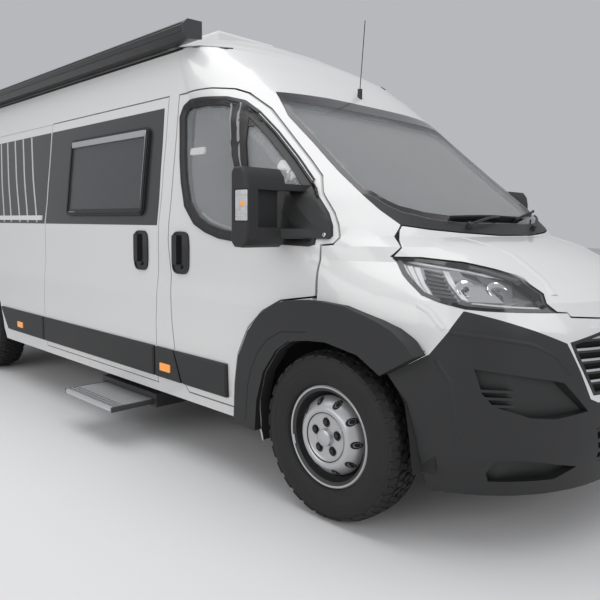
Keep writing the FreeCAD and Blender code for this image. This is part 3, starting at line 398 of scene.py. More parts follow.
def solid(*parts):
    """Parts joined into one form that looks outward."""
    return facing(*joined(*parts))


def oblong(u0, u1, v0, v1):
    """Outline of a plain rectangle."""
    return [(u0, v0), (u1, v0), (u1, v1), (u0, v1)]


def grille_half(z):
    """Half the width of the grille's opening at a height."""
    for (high, wide), (low, narrow) in zip(GRILLE, GRILLE[1:]):
        if z >= low:
            return wide + (narrow - wide) * (high - z) / (high - low)
    return GRILLE[-1][1]


def in_grille(y, z, depth):
    """Point in the grille's opening, behind the curve that its frame spans."""
    foot, top = 0.637, 0.869
    if abs(y) > 0.435:
        top = 0.869 - (abs(y) - 0.435) * 0.2576
    while grille_half(foot) - 0.008 < abs(y) and foot < top:
        foot += 0.002
    low, high = (on_face(grille_skin, y, level, 0).x for level in (foot, top))
    share = min(max((z - foot) / max(top - foot, 0.01), 0), 1)
    return Vector((low + (high - low) * share + depth, y, z))


louvres, trims = [], []
for k in range(1, 6):
    z = GRILLE_FOOT + 0.042 * k
    span = grille_half(z - 0.010) - 0.012
    louvres.append(slab(oblong(-span, span, z - 0.010, z + 0.010), in_grille, -0.030, -0.006, 0.05))
    trims.append(slab(oblong(-span, span, z, z + 0.009), in_grille, -0.008, -0.0045, 0.05))
for y in (-0.230, 0.0, 0.230):
    tie = oblong(y - 0.006, y + 0.006, GRILLE_FOOT, GRILLE_TOP)
    louvres.append(slab(tie, in_grille, -0.034, -0.012, 0.05))
shape("grille_louvres", *solid(*louvres), plastic, "body", "grey_plastic")
shape("grille_trims", *solid(*trims), bright, "body", "grey_plastic")
screen = slab([(-0.450, GRILLE_FOOT), (0.450, GRILLE_FOOT), (0.545, 0.800), (0.545, 0.845),
               (0.440, GRILLE_TOP), (-0.440, GRILLE_TOP), (-0.545, 0.845), (-0.545, 0.800)],
              in_grille, None, -0.038, 0.05)
shape("grille_screen", *screen, screen_black_and_painted_shade, "body", "grey_plastic")

# Headlamps: a clear polycarbonate lens bonded to a smoked housing that wraps round the wing;
# behind it two bright reflector bowls with bulb shields, slanted light guides and a finned module.
LAMP = ((0.205, 1.136), (0.294, 1.136), (0.416, 1.120), (0.519, 1.096), (0.621, 1.067),
        (0.719, 1.012), (0.780, 0.951), (0.699, 0.952), (0.619, 0.954), (0.545, 0.959),
        (0.463, 0.979), (0.388, 1.003), (0.281, 1.073))
clear = finish_of("clear_lens", (0.30, 0.31, 0.32), 0.05, coat=0.6, grain=0.02, alpha=0.16)
chrome = finish_of("reflector_chrome", (0.80, 0.80, 0.81), 0.10, metal=1.0, grain=0.03, pitch=0.01)
gloss_black = finish_of("gloss_black", (0.012, 0.012, 0.013), 0.12, coat=0.4, grain=0.03)
smoke = finish_of("smoked_chrome", (0.20, 0.20, 0.205), 0.28, metal=0.7, grain=0.1, pitch=0.01)
guide = finish_of("light_guide", (0.60, 0.61, 0.62), 0.18, coat=0.5, grain=0.2, pitch=0.003,
                  glow=0.03)


def on_lens(skin, x, z, side, lift):
    """Point on a lamp's lens; one that falls beside it is drawn to the lamp's middle."""
    for k in range(40):
        u, v = x + (0.50 - x) * 0.01 * k, z + (1.04 - z) * 0.01 * k
        start = Vector((AXLE + u, side * BESIDE, v))
        hit, normal, _, _ = skin.ray_cast(start, Vector((0, -side, 0)))
        if hit is not None:
            break
    usual = Vector((0.55, side * 0.80, 0.20)).normalized()
    if normal.dot(usual) < 0.6:
        normal = usual
    return hit + normal * lift


def resampled(outline, step):
    """A closed outline with points about every step."""
    return between(list(outline) + [outline[0]], step)[:-1]


def drawn_in(outline, width):
    """A closed outline moved inward, point by point."""
    turn = sum(a[0] * b[1] - b[0] * a[1] for a, b in zip(outline, outline[1:] + outline[:1]))
    way = 1 if turn > 0 else -1
    moved = []
    for i, (u, v) in enumerate(outline):
        a, b = outline[i - 1], outline[(i + 1) % len(outline)]
        run = math.hypot(b[0] - a[0], b[1] - a[1]) or 1
        moved.append((u - way * width * (b[1] - a[1]) / run, v + way * width * (b[0] - a[0]) / run))
    return moved


def band(outer, inner, reach, low, high):
    """A raised rim between two outlines with as many points each."""
    rings = ((outer, low), (outer, high), (inner, high), (inner, low))
    points = [reach(*p, lift) for ring, lift in rings for p in ring]
    return points, strips(len(rings), len(outer), closed=True)


def turned(profile, centre, axis, steps=32, start=0.0, arc=360.0):
    """A profile of (along, radius) turned about an axis."""
    axis = Vector(axis).normalized()
    side_way = axis.cross(Vector((0, 0, 1)))
    side_way = side_way.normalized() if side_way.length > 0.01 else Vector((1, 0, 0))
    up = side_way.cross(axis)
    points = []
    closed = arc >= 360
    count = steps if closed else steps + 1
    for along, radius in profile:
        for k in range(count):
            a = math.radians(start + arc * k / steps)
            points.append(Vector(centre) + axis * along
                          + (side_way * math.cos(a) + up * math.sin(a)) * radius)
    return points, strips(len(profile), count, closed)


for side, name in SIDES:
    points, faces = welded("headlamps")
    faces = [loop for loop in faces if side * points[loop[0]].y > 0]
    whole_lamp = BVHTree.FromPolygons(points, faces)
    outside = []
    for loop in faces:
        middle = sum((points[i] for i in loop), Vector()) / len(loop)
        start = Vector((middle.x, side * BESIDE, middle.z))
        hit = whole_lamp.ray_cast(start, Vector((0, -side, 0)))[0]
        if hit and (hit - middle).length < 0.0005:
            outside.append(loop)
    skin = BVHTree.FromPolygons(points, outside)
    lens, housing = [], []
    for loop in faces:
        middle = sum((points[i] for i in loop), Vector()) / len(loop)
        (lens if skin.find_nearest(middle)[3] < 0.0058 else housing).append(loop)
    shape("headlamp_lens_" + name, points, lens, clear, "body", "lamp_clear",
          ["headlamps"] if side < 0 else ())
    shape("headlamp_housing_" + name, points, housing, smoke, "body", "lamp_clear")
    reach = lambda x, z, t: on_lens(skin, x, z, side, t)
    edge = resampled(LAMP, 0.015)
    rim = band(drawn_in(edge, 0.0015), drawn_in(edge, 0.013), reach, 0.0, 0.0006)
    shape("headlamp_rim_" + name, *rim, gloss_black, "body", "lamp_clear", angle=40)
    bowls, bulbs = [], []
    for x, z, r in ((0.512, 1.036, 0.037), (0.604, 1.030, 0.040)):
        seat = reach(x, z, -0.006)
        ahead = reach(x, z, 0) - seat + Vector((0.002, 0, 0))
        profile = [(-0.0095, 0.004), (-0.0090, 0.014), (-0.0070, 0.026), (-0.001, r),
                   (0.0, r + 0.002), (-0.003, r + 0.004)]
        bowls.append(turned(profile, seat, ahead, 28))
        profile = [(-0.009, 0.0120), (-0.003, 0.0120), (-0.001, 0.008), (0.0, 0.0)]
        bulbs.append(turned(profile, seat, ahead, 20))
    shape("headlamp_bowls_" + name, *joined(*bowls), chrome, "body", "lamp_clear")
    shape("headlamp_projectors_" + name, *joined(*bulbs), gloss_black, "body", "lamp_clear")
    ribs = []
    for k in range(3):
        top, foot = 0.236 + 0.026 * k, 0.350 + 0.029 * k
        outline = [(foot, 1.036 - 0.012 * k), (foot + 0.023, 1.026 - 0.012 * k),
                   (top + 0.020, 1.116 - 0.003 * k), (top, 1.118 - 0.003 * k)]
        ribs.append(slab(outline, reach, -0.024, -0.006 - 0.003 * k, 0.03))
    slant = [(0.520, 1.000), (0.548, 0.992), (0.412, 1.092), (0.390, 1.096)]
    ribs.append(slab(slant, reach, -0.014, -0.006, 0.03))
    foot_line = [(0.560, 0.981), (0.620, 0.975), (0.695, 0.969), (0.744, 0.966)]
    brow = [(0.262, 1.124), (0.358, 1.108), (0.475, 1.089), (0.587, 1.062)]
    for line, high in ((foot_line, 0.006), (brow, 0.005)):
        outline = line + [(x, z + high) for x, z in reversed(line)]
        ribs.append(slab(outline, reach, -0.012, -0.005, 0.03))
    shape("headlamp_guides_" + name, *solid(*ribs), guide, "body", "lamp_clear")
    block = [(0.440, 0.998), (0.515, 0.992), (0.392, 1.090), (0.325, 1.105)]
    mesh = [slab(block, reach, -0.020, -0.013, 0.03)]
    for k in range(7):
        t = (k + 0.5) / 7
        left = (0.325 + 0.115 * t, 1.105 - 0.107 * t)
        right = (0.392 + 0.123 * t, 1.090 - 0.098 * t)
        outline = [left, right, (right[0], right[1] + 0.005), (left[0], left[1] + 0.005)]
        mesh.append(slab(outline, reach, -0.013, -0.009, 0.03))
    shape("headlamp_module_" + name, *solid(*mesh), plastic, "body", "lamp_clear")
    tip = [(0.640, 0.976), (0.745, 0.974), (0.690, 1.020), (0.618, 1.056), (0.655, 1.015)]
    shape("headlamp_tip_" + name, *slab(tip, reach, None, -0.009, 0.03), gloss_black, "body",
          "lamp_clear")

# Tyres: radial carcass with plain sidewalls and an all-terrain tread of five staggered rows
# of rubber blocks; moulded in one piece and seated on the rim's bead.
rubber = finish_of("tyre_rubber", (0.007, 0.007, 0.0072), 0.68, grain=0.25, pitch=0.002, cloud=0.15,
                   patch=0.12)
REAR_AXLE = AXLE - 4.035
WHEEL_HEIGHT = 0.370
PITCHES = 58
ROWS = ((-0.103, -0.062, 0.0), (-0.055, -0.020, 0.5), (-0.015, 0.015, 0.0), (0.020, 0.055, 0.5),
        (0.062, 0.103, 0.0))
CARCASS = ((-0.062, 0.204), (-0.074, 0.204), (-0.076, 0.222), (-0.090, 0.226), (-0.098, 0.230),
           (-0.1005, 0.236), (-0.1030, 0.238), (-0.1075, 0.252), (-0.1108, 0.270),
           (-0.1125, 0.282), (-0.1120, 0.296), (-0.1135, 0.299), (-0.1125, 0.303),
           (-0.1095, 0.318), (-0.1055, 0.334), (-0.0985, 0.346), (-0.088, 0.355),
           (-0.070, 0.3605), (-0.035, 0.3620))


def crown(offset):
    """Tread radius at a distance from the tyre's middle."""
    shoulder = max(0, abs(offset) - 0.075)
    return WHEEL_HEIGHT - 0.0035 * (offset / 0.062) ** 2 - 0.009 * shoulder / 0.028


def wheel_centre(end, side):
    """The middle of one wheel."""
    station, track = (AXLE, 0.905) if end == "front" else (REAR_AXLE, 0.895)
    return Vector((station, side * track, WHEEL_HEIGHT))


def tread_block(points, faces, centre, row, turn, lean):
    """One block between two offsets; its ends run on a slant."""
    low, high, _ = row
    pitch = 2 * math.pi / PITCHES
    base = len(points)
    for depth, grow in ((0.010, 1.0), (0.0, 0.90)):
        for offset, shift in ((low, lean), (high, -lean)):
            for end in (-0.36, 0.36):
                a = (turn + end * grow + shift * 0.16) * pitch
                middle = (low + high) / 2
                o = middle + (offset - middle) * (0.97 if depth == 0 else 1.0)
                r = crown(o) - depth
                points.append(centre + Vector((r * math.sin(a), o, r * math.cos(a))))
    a, b, c, d, e, f, g, h = range(base, base + 8)
    faces += [[e, f, h, g], [a, b, f, e], [c, g, h, d], [a, e, g, c], [b, d, h, f]]


for end in ("front", "rear"):
    for side, name in SIDES:
        centre = wheel_centre(end, side)
        profile = list(CARCASS) + [(-o, r) for o, r in reversed(CARCASS)]
        points, faces = turned(profile, centre, (0, 1, 0), 112)
        for number, row in enumerate(ROWS):
            for k in range(PITCHES):
                lean = 1 if (k + number) % 2 else -1
                tread_block(points, faces, centre, row, k + row[2], lean)
        node = "tyre_%s_%s" % (end, name)
        shape(node + "_tread", *facing(points, faces), rubber, "wheel_%s_%s" % (end, name),
              "tyre", [node], 25)

# Wheels: pressed steel disc welded into a rolled rim, silver powder coat, held by five
# cone-seat bolts in their recesses; rubber valve and a clipped lead weight on the flange, and
# a bare iron brake disc behind the vents. The rim's rolled barrel is coloured near-black as
# painted shade.
silver = finish_of("wheel_silver", (0.47, 0.47, 0.48), 0.34, metal=0.5, coat=0.3, grain=0.05,
                   pitch=0.002, cloud=0.05, patch=0.2)
bolt_steel = finish_of("dark_steel", (0.025, 0.025, 0.026), 0.40, metal=0.4, grain=0.2, pitch=0.002)
disc_iron = finish_of("brake_iron", (0.20, 0.19, 0.185), 0.42, metal=0.9, grain=0.3, pitch=0.003)
# Painted shade: near-black for the silver barrel between disc and flange, where shade falls.
barrel_painted_shade = finish_of("barrel_painted_shade", (0.030, 0.030, 0.031), 0.55, grain=0.2, pitch=0.003)
FACE = 0.080
BOLT_CIRCLE = 0.065
VENTS = 10
RING = 24


def bolt_place(k, height):
    """Place of one of the five bolts, from the wheel's centre."""
    a = 2 * math.pi * k / 5
    return Vector((BOLT_CIRCLE * math.sin(a), height, BOLT_CIRCLE * math.cos(a)))


for end in ("front", "rear"):
    for side, name in SIDES:
        centre = wheel_centre(end, side)
        body = "wheel_%s_%s" % (end, name)
        node = "rim_%s_%s" % (end, name)
        points, faces = welded(node)
        disc_skin = BVHTree.FromPolygons(points, faces)
        iron, deep, shown = [], [], []
        for loop in faces:
            spots = [(math.hypot(p.x, p.z), p.y * side) for p in (points[i] - centre for i in loop)]
            brake = all(r < 0.1505 and y < 0.0805 for r, y in spots)
            # Faces of the rolled barrel take the near-black painted shade.
            inner = all(0.171 < r < 0.2125 and y < 0.0865 for r, y in spots)
            (iron if brake else deep if inner else shown).append(loop)
        shape(node + "_disc", points, shown, silver, body, "wheel_silver", [node], 38)
        shape(node + "_barrel_painted_shade", points, deep, barrel_painted_shade, body, "wheel_silver", angle=38)
        shape(node + "_brake_disc", points, iron, disc_iron, body, "wheel_silver", angle=38)
        heads, collars, recess_shades = [], [], []
        # Black painted shade lines each vent hole and each bolt recess, with a thin ring of it at a
        # step pressed into the disc.
        for k in range(VENTS):
            a = 2 * math.pi * (k + 0.5) / VENTS
            out = Vector((math.sin(a), 0, math.cos(a)))
            round_it = Vector((math.cos(a), 0, -math.sin(a)))
            ring = []
            for middle, radius, lift in ((0.1570, 0.0108, -0.004), (0.1570, 0.0108, 0.0007),
                                         (0.1555, 0.0135, 0.0007), (0.1540, 0.0165, 0.0007)):
                for j in range(RING):
                    b = 2 * math.pi * j / RING
                    spot = out * (middle + radius * math.cos(b)) + round_it * radius * math.sin(b)
                    hit, normal = disc_skin.ray_cast(centre + spot + Vector((0, side * 0.2, 0)),
                                                     Vector((0, -side, 0)))[:2]
                    ring.append(hit + normal * lift)
            recess_shades.append((ring, strips(4, RING, closed=True) + [list(range(RING))]))
        for k in range(5):
            recess = centre + bolt_place(k, side * (FACE + 0.0104))
            recess_shades.append(turned([(0.0, 0.0125), (0.0, 0.0208)], recess, (0, side, 0), 24))
        recess_shades.append(turned([(FACE + 0.0163, 0.1035), (FACE + 0.0196, 0.1070)], centre,
                           (0, side, 0), 72))
        for k in range(5):
            seat = centre + bolt_place(k, side * (FACE + 0.005))
            heads.append(turned([(0.0, 0.0132), (0.003, 0.0132), (0.003, 0.0112), (0.013, 0.0112),
                                 (0.0145, 0.0095), (0.0145, 0.0)], seat, (0, side, 0), 6))
            collars.append(turned([(0.0050, 0.0206), (0.0068, 0.0210), (0.0074, 0.0222),
                                   (0.0066, 0.0234), (0.0050, 0.0240)], seat, (0, side, 0), 24))
        shape(body + "_bolts", *joined(*heads), bolt_steel, body, "steel", angle=25)
        shape(body + "_bolt_rings", *joined(*collars), silver, body, "wheel_silver")
        # The recesses' black lining is painted shade.
        shape(body + "_recess_painted_shade", *joined(*recess_shades), screen_black_and_painted_shade, body, "wheel_silver")
        stem = centre + Vector((0.150, side * 0.060, 0.095))
        valve = turned([(-0.02, 0.004), (0.012, 0.004), (0.013, 0.0055), (0.026, 0.0055),
                        (0.028, 0.0)], stem, (0.25, side, 0.1), 14)
        shape(body + "_valve", *valve, rubber, body, "tyre")
        weight = turned([(0.088, 0.1985), (0.0915, 0.2010), (0.0935, 0.2065), (0.0915, 0.2085)],
                        centre, (0, side, 0), 12, 338 if side < 0 else 310, 12)
        shape(body + "_balance_weight", *weight, silver, body, "wheel_silver")

# Windscreen: laminated glass bonded behind a black ceramic border; below it two wiper arms
# of black-painted steel with rubber blades, parked on the cowl.
glass = finish_of("clear_glass", (0.30, 0.32, 0.33), 0.04, coat=0.5, grain=0.01, alpha=0.30)
SCREEN = ((-0.342, 1.942), (-0.686, 1.932), (-0.740, 1.788), (-0.745, 1.646), (-0.758, 1.502),
          (-0.757, 1.407), (-0.722, 1.393), (-0.689, 1.351), (-0.647, 1.325), (-0.532, 1.297),
          (-0.366, 1.282))
surface("windscreen", glass, "glass", 30)
on_screen = nose(skin_of("windscreen"))


def whole(half):
    """A front-view half outline on the right completed with its mirror image."""
    return list(half) + [(-y, z) for y, z in reversed(half)]


edge = resampled(whole(SCREEN), 0.04)
inner = drawn_in(edge, 0.030)
border = band(drawn_in(edge, 0.003), inner, on_screen, 0.0006, 0.0010)
shape("windscreen_border", *border, gloss_black, "body", "glass")
top_band = slab([(-0.670, 1.918), (-0.688, 1.875), (0.688, 1.875), (0.670, 1.918)], on_screen, None,
                0.0008, 0.06)
shape("windscreen_shade_band", *top_band, gloss_black, "body", "glass")


def toward(a, b, t):
    """Place part of the way from one place to another."""
    return a[0] + (b[0] - a[0]) * t, a[1] + (b[1] - a[1]) * t


def tube(path, radius, steps=10):
    """A round bar along a path of points, closed at both ends."""
    points = []
    for i, p in enumerate(path):
        along = (Vector(path[min(i + 1, len(path) - 1)]) - Vector(path[max(i - 1, 0)])).normalized()
        across = along.cross(Vector((0, 0, 1)))
        across = across.normalized() if across.length > 0.05 else Vector((1, 0, 0))
        other = across.cross(along)
        r = radius[i] if isinstance(radius, (list, tuple)) else radius
        for k in range(steps):
            a = 2 * math.pi * k / steps
            points.append(Vector(p) + (across * math.cos(a) + other * math.sin(a)) * r)
    faces = strips(len(path), steps, closed=True)
    faces.append(list(range(steps)))
    faces.append([(len(path) - 1) * steps + k for k in reversed(range(steps))])
    return points, faces


wiper_black = finish_of("wiper_black", (0.015, 0.015, 0.016), 0.42, grain=0.3, pitch=0.003)
front_skin = skin_of("windscreen", "cowl", "bonnet")
for name, pivot, rest, low, high in (
        ("right", (-0.34, 1.262), (-0.02, 1.300), (-0.42, 1.296), (0.22, 1.300)),
        ("left", (0.28, 1.256), (0.50, 1.318), (0.14, 1.292), (0.70, 1.352))):
    arm = []
    for k in range(9):
        t = k / 8
        y, z = toward(pivot, rest, t)
        arm.append(on_face(front_skin, y, z, 0.018 + 0.014 * math.sin(math.pi * t)))
    blade, lip = [], []
    for k in range(15):
        t = k / 14
        y, z = toward(low, high, t)
        z += 0.006 * math.sin(math.pi * t)
        blade.append(on_face(front_skin, y, z, 0.016))
        lip.append(on_face(front_skin, y, z, 0.005))
    foot = on_face(front_skin, *pivot, 0.0)
    cap = turned([(-0.01, 0.014), (0.022, 0.014), (0.027, 0.010), (0.027, 0.0)], foot,
                 (0.55, 0, 0.83), 18)
    shape("wiper_arm_" + name, *joined(tube(arm, [0.007] * 5 + [0.005] * 4, 8), cap), wiper_black,
          "body", "grey_plastic")
    shape("wiper_blade_" + name, *joined(tube(blade, 0.0065, 8), tube(lip, 0.0035, 6)), rubber,
          "body", "tyre")

# Cab door windows: tempered drop glass and fixed quarter light in a thick moulded rubber
# surround, parted by a black guide bar with a grey edge on each side.
DOOR_WINDOW = ((-1.126, 1.873), (-1.082, 1.891), (-0.950, 1.887), (-0.815, 1.877),
               (-0.728, 1.854), (-0.637, 1.795), (-0.500, 1.686), (-0.357, 1.563),
               (-0.194, 1.417), (-0.172, 1.385), (-0.122, 1.196), (-0.640, 1.204),
               (-0.750, 1.215), (-0.856, 1.242), (-0.948, 1.280), (-1.043, 1.367),
               (-1.090, 1.488), (-1.121, 1.624), (-1.150, 1.829))
seal = finish_of("window_rubber", (0.010, 0.010, 0.011), 0.45, grain=0.2, pitch=0.003)
cap_dark = finish_of("guide_trim", (0.26, 0.26, 0.265), 0.35, grain=0.1, pitch=0.003)


def over_gaps(skin, x, z, side, lift):
    """Point on a flank, carried straight over the gaps between its panels."""
    reach = 0.014
    outer = abs(on_flank(skin, x, z, side, 0).y)
    for dx, dz in ((reach, 0), (0, reach)):
        pair = [abs(on_flank(skin, x + s * dx, z + s * dz, side, 0).y) for s in (-1, 1)]
        outer = max(outer, sum(pair) / 2)
    return Vector((x, side * (outer + lift), z))


def moulding(outline, widths, reach, low, high):
    """A rubber lip along an outline, a row for each width, its two edges let in."""
    lifts = [low] + [high] * (len(widths) - 2) + [low]
    points = [reach(*p, t) for w, t in zip(widths, lifts) for p in drawn_in(outline, w)]
    return points, strips(len(widths), len(outline), closed=True)


door_skins = {}
for side, name in SIDES:
    body = "front_door_" + name
    surface("front_door_glass_" + name, glass, "glass", 30)
    skin = skin_of("front_door_" + name, "front_door_glass_" + name)
    door_skins[side] = skin
    reach = lambda x, z, t: over_gaps(skin, AXLE + x, z, side, t)
    edge = resampled(DOOR_WINDOW, 0.012)
    widths = (-0.024, -0.021, -0.014, -0.007, 0.0, 0.007, 0.014, 0.021, 0.026)
    lip = moulding(edge, widths, reach, -0.003, 0.0085)
    post = slab([(-0.772, 1.868), (-0.550, 1.202), (-0.452, 1.200), (-0.676, 1.838)], reach,
                -0.002, 0.0090, 0.02)
    corner = slab([(-0.676, 1.836), (-0.640, 1.735), (-0.560, 1.735), (-0.627, 1.800)], reach,
                  -0.002, 0.0046, 0.03)
    foot = slab([(-0.200, 1.430), (-0.370, 1.430), (-0.370, 1.205), (-0.135, 1.205)], reach,
                -0.002, 0.0044, 0.03)
    shape("window_surround_" + name, *joined(lip, post, corner, foot), seal, body, "grey_plastic")
    line = slab([(-0.728, 1.862), (-0.504, 1.202), (-0.494, 1.202), (-0.718, 1.858)], reach,
                0.0, 0.0115, 0.02)
    run = slab([(-0.776, 1.858), (-0.554, 1.208), (-0.547, 1.208), (-0.769, 1.858)], reach,
               0.0, 0.0110, 0.02)
    shape("window_guide_line_" + name, *solid(line, run), cap_dark, body, "grey_plastic")

# Folding blinds: pleated polyester cloth drawn across the windscreen and the cab doors'
# windows, stiff rails along their edges.
SCREEN_BLIND = -0.045
blind_cloth = finish_of("blind_cloth", (0.42, 0.42, 0.41), 0.85, grain=0.3, pitch=0.0015)
blind_rail = finish_of("blind_rail", (0.66, 0.66, 0.65), 0.45, grain=0.1, pitch=0.003)


def height_span(outline, at):
    """Lowest and highest crossing of an outline at one station."""
    found = []
    for (u0, v0), (u1, v1) in zip(outline, outline[1:] + outline[:1]):
        if (u0 - at) * (u1 - at) <= 0 and u0 != u1:
            found.append(v0 + (v1 - v0) * (at - u0) / (u1 - u0))
    return (min(found), max(found)) if found else None


def pleated(outline, start, end, pitch, reach, depth, fold):
    """Cloth folded in upright pleats inside an outline, at a depth behind a surface."""
    rows = 8
    columns = []
    count = int(abs(end - start) / pitch) * 2
    for k in range(count + 1):
        u = start + (end - start) * k / count
        span = height_span(outline, u)
        if span is None or span[1] - span[0] < 0.03:
            continue
        sway = fold if k % 2 else -fold
        columns.append([reach(u, span[0] + (span[1] - span[0]) * r / rows, depth + sway)
                        for r in range(rows + 1)])
    points = [p for column in columns for p in column]
    return points, strips(len(columns), rows + 1, across=True)


screen_outline = drawn_in(whole(SCREEN), 0.022)
top_rail = tube([on_screen(-0.68 + 0.085 * k, 1.885, SCREEN_BLIND) for k in range(17)], 0.012, 8)
foot_rail = tube([on_screen(y, 1.322 + 0.012 * abs(y), SCREEN_BLIND)
                  for y in [-0.62 + 0.0775 * k for k in range(17)]], 0.010, 8)
shape("windscreen_blind_rails", *joined(top_rail, foot_rail), blind_rail, "body", "mattress",
      ["blinds"])
cassette = slab(oblong(-0.63, 0.63, 1.872, 1.900), on_screen, -0.030, -0.020, 0.05)
shape("windscreen_blind_cassette", *solid(cassette), wiper_black, "body", "grey_plastic")
folds = pleated(screen_outline, -0.735, 0.735, 0.018, on_screen, SCREEN_BLIND, 0.0045)
made = shape("windscreen_blind", *folds, blind_cloth, "body", "mattress", angle=5)
for side, name in SIDES:
    skin = skin_of("front_door_glass_" + name)
    reach = flank(skin, side, AXLE)
    body = "front_door_" + name
    outline = drawn_in(DOOR_WINDOW, 0.024)
    rails = [tube([reach(x, height_span(outline, x)[0] + 0.01, -0.030)
                   for x in [-0.95 + 0.08 * k for k in range(10)]], 0.008, 8)]
    shape("door_blind_rail_" + name, *joined(*rails), blind_rail, body, "mattress")
    folds = pleated(outline, -1.085, -0.16, 0.014, reach, -0.028, 0.003)
    made = shape("door_blind_" + name, *folds, blind_cloth, body, "mattress", angle=5)

# Blind catches: white plastic grips on the cab door blinds' rails, the front one on a ribbed
# stem that slides over the glass; the grips glow faintly as a painted highlight.
# The glow makes the white grips brighter: painted light, not a lamp.
catch_white_painted_glow = finish_of("catch_white_painted_glow", (0.92, 0.92, 0.91), 0.35, grain=0.05, pitch=0.003, glow=0.35)
for side, name in SIDES:
    skin = skin_of("front_door_glass_" + name)
    reach = flank(skin, side, AXLE)
    rear_grip = slab(rounded(-1.083, -0.960, 1.627, 1.662, 0.010, 4), reach, -0.022, -0.010, 0.04)
    head = slab(rounded(-0.417, -0.292, 1.526, 1.569, 0.012, 4), reach, -0.022, -0.010, 0.04)
    stem = tube([reach(-0.347, 1.436 + 0.010 * k, -0.016) for k in range(10)],
                [0.008 if k % 2 else 0.006 for k in range(10)], 8)
    shape("door_blind_catches_" + name, *solid(rear_grip, head), catch_white_painted_glow,
          "front_door_" + name, "mattress")
    shape("door_blind_stem_" + name, *solid(stem), blind_rail, "front_door_" + name, "mattress")

# Door mirrors: tall black housings on two arms from a triangular plate, a dished front, two
# glasses one over the other and a clear indicator lens with an amber bulb on the outer edge.
GLASS_REAR, GLASS_FRONT = AXLE - 0.326, AXLE - 0.322
mirror_glass = finish_of("mirror_glass", (0.78, 0.79, 0.80), 0.03, metal=1.0, grain=0.01)
lens_clear = finish_of("indicator_lens", (0.50, 0.50, 0.51), 0.14, coat=0.6, grain=0.9,
                       pitch=0.009, cloud=0.35, patch=0.02)


def box_piece(x0, x1, y0, y1, z0, z1, r=0.004):
    """A block with its edges rounded off."""
    work = bmesh.new()
    bmesh.ops.create_cube(work, size=1)
    for v in work.verts:
        v.co = Vector(((x0 + x1) / 2 + v.co.x * (x1 - x0), (y0 + y1) / 2 + v.co.y * (y1 - y0),
                       (z0 + z1) / 2 + v.co.z * (z1 - z0)))
    if r:
        bmesh.ops.bevel(work, geom=work.edges[:], offset=r, segments=3, profile=0.5,
                        affect="EDGES")
    work.verts.index_update()
    points = [v.co.copy() for v in work.verts]
    faces = [[v.index for v in f.verts] for f in work.faces]
    work.free()
    return points, faces


def sided(y0, y1, side):
    """Two distances from the middle as a span on one side."""
    return sorted((y0 * side, y1 * side))


for side, name in SIDES:
    body = "front_door_" + name
    surface("mirror_" + name, plastic, "grey_plastic", 40)
    across = sided(1.046, 1.230, side)
    main = box_piece(GLASS_REAR, GLASS_FRONT, *across, 1.292, 1.466, 0.001)
    wide = box_piece(GLASS_REAR, GLASS_FRONT, *across, 1.205, 1.280, 0.001)
    shape("mirror_glasses_" + name, *joined(main, wide), mirror_glass, body, "grey_plastic")
    lens = box_piece(AXLE - 0.300, AXLE - 0.226, *sided(1.2425, 1.2500, side), 1.279, 1.405, 0.0036)
    ribs = [box_piece(AXLE - 0.294, AXLE - 0.232, *sided(1.2490, 1.2512, side), z, z + 0.005, 0.001)
            for z in (1.296, 1.306, 1.384)]
    shape("mirror_indicator_" + name, *joined(lens, *ribs), lens_clear, body, "lamp_clear")
    seat = Vector((AXLE - 0.252, side * 1.2492, 1.348))
    bulb = turned([(0.0, 0.012), (0.0022, 0.012), (0.0032, 0.006), (0.0032, 0.0)], seat,
                  (0, side, 0), 16)
    shape("mirror_indicator_bulb_" + name, *bulb, amber, body, "lamp_red")
    mirror_skin = skin_of("mirror_" + name)
    screw_at = on_flank(mirror_skin, AXLE - 0.062, 1.225, side, 0.0)
    screw = turned([(0.0, 0.010), (0.003, 0.010), (0.005, 0.006), (0.003, 0.004), (0.003, 0.0)],
                   screw_at, (0, side, 0.05), 20)
    shape("mirror_plate_screw_" + name, *screw, bright, body, "grey_plastic")

# Door handles: black upright cups pressed into the door skins with a grip over the hollow
# and a lock cylinder below.
for side, name, spans in ((-1, "right", ((-1.549, -1.399, "body"), (-1.158, -1.000, "door"))),
                          (1, "left", ((-1.158, -1.000, "door"),))):
    for x0, x1, which in spans:
        skin = wall_skin if which == "body" else door_skins[side]
        body = "body" if which == "body" else "front_door_" + name
        reach = flank(skin, side, AXLE)
        bulge = []
        for k in range(40):
            a = 2 * math.pi * k / 40
            c, s = math.cos(a), math.sin(a)
            bulge.append(((x0 + x1) / 2 + (x1 - x0) / 2 * math.copysign(abs(c) ** 0.55, c),
                          1.110 + 0.113 * math.copysign(abs(s) ** 0.45, s)))
        cup = slab(bulge, reach, -0.002, 0.0035, 0.04)
        rim = band(bulge, drawn_in(bulge, 0.010), reach, 0.0, 0.0075)
        xa, xb = x0 + 0.022, x0 + (x1 - x0) * 0.42
        grip = slab(rounded(xa, xb, 1.045, 1.205, 0.014, 4), reach, 0.003, 0.022, 0.03)
        tag = "door_handle_%s_%s" % (which, name)
        shape(tag + "_cup", *solid(cup), gloss_black, body, "grey_plastic")
        shape(tag + "_rim", *rim, plastic, body, "grey_plastic")
        shape(tag + "_grip", *solid(grip), wiper_black, body, "grey_plastic")
        lock = turned([(0.0, 0.013), (0.010, 0.012), (0.012, 0.009), (0.012, 0.0)],
                      reach(x0 + (x1 - x0) * 0.52, 1.035, 0.002), (0, side, 0), 22)
        shape(tag + "_lock", *lock, bolt_steel, body, "steel")

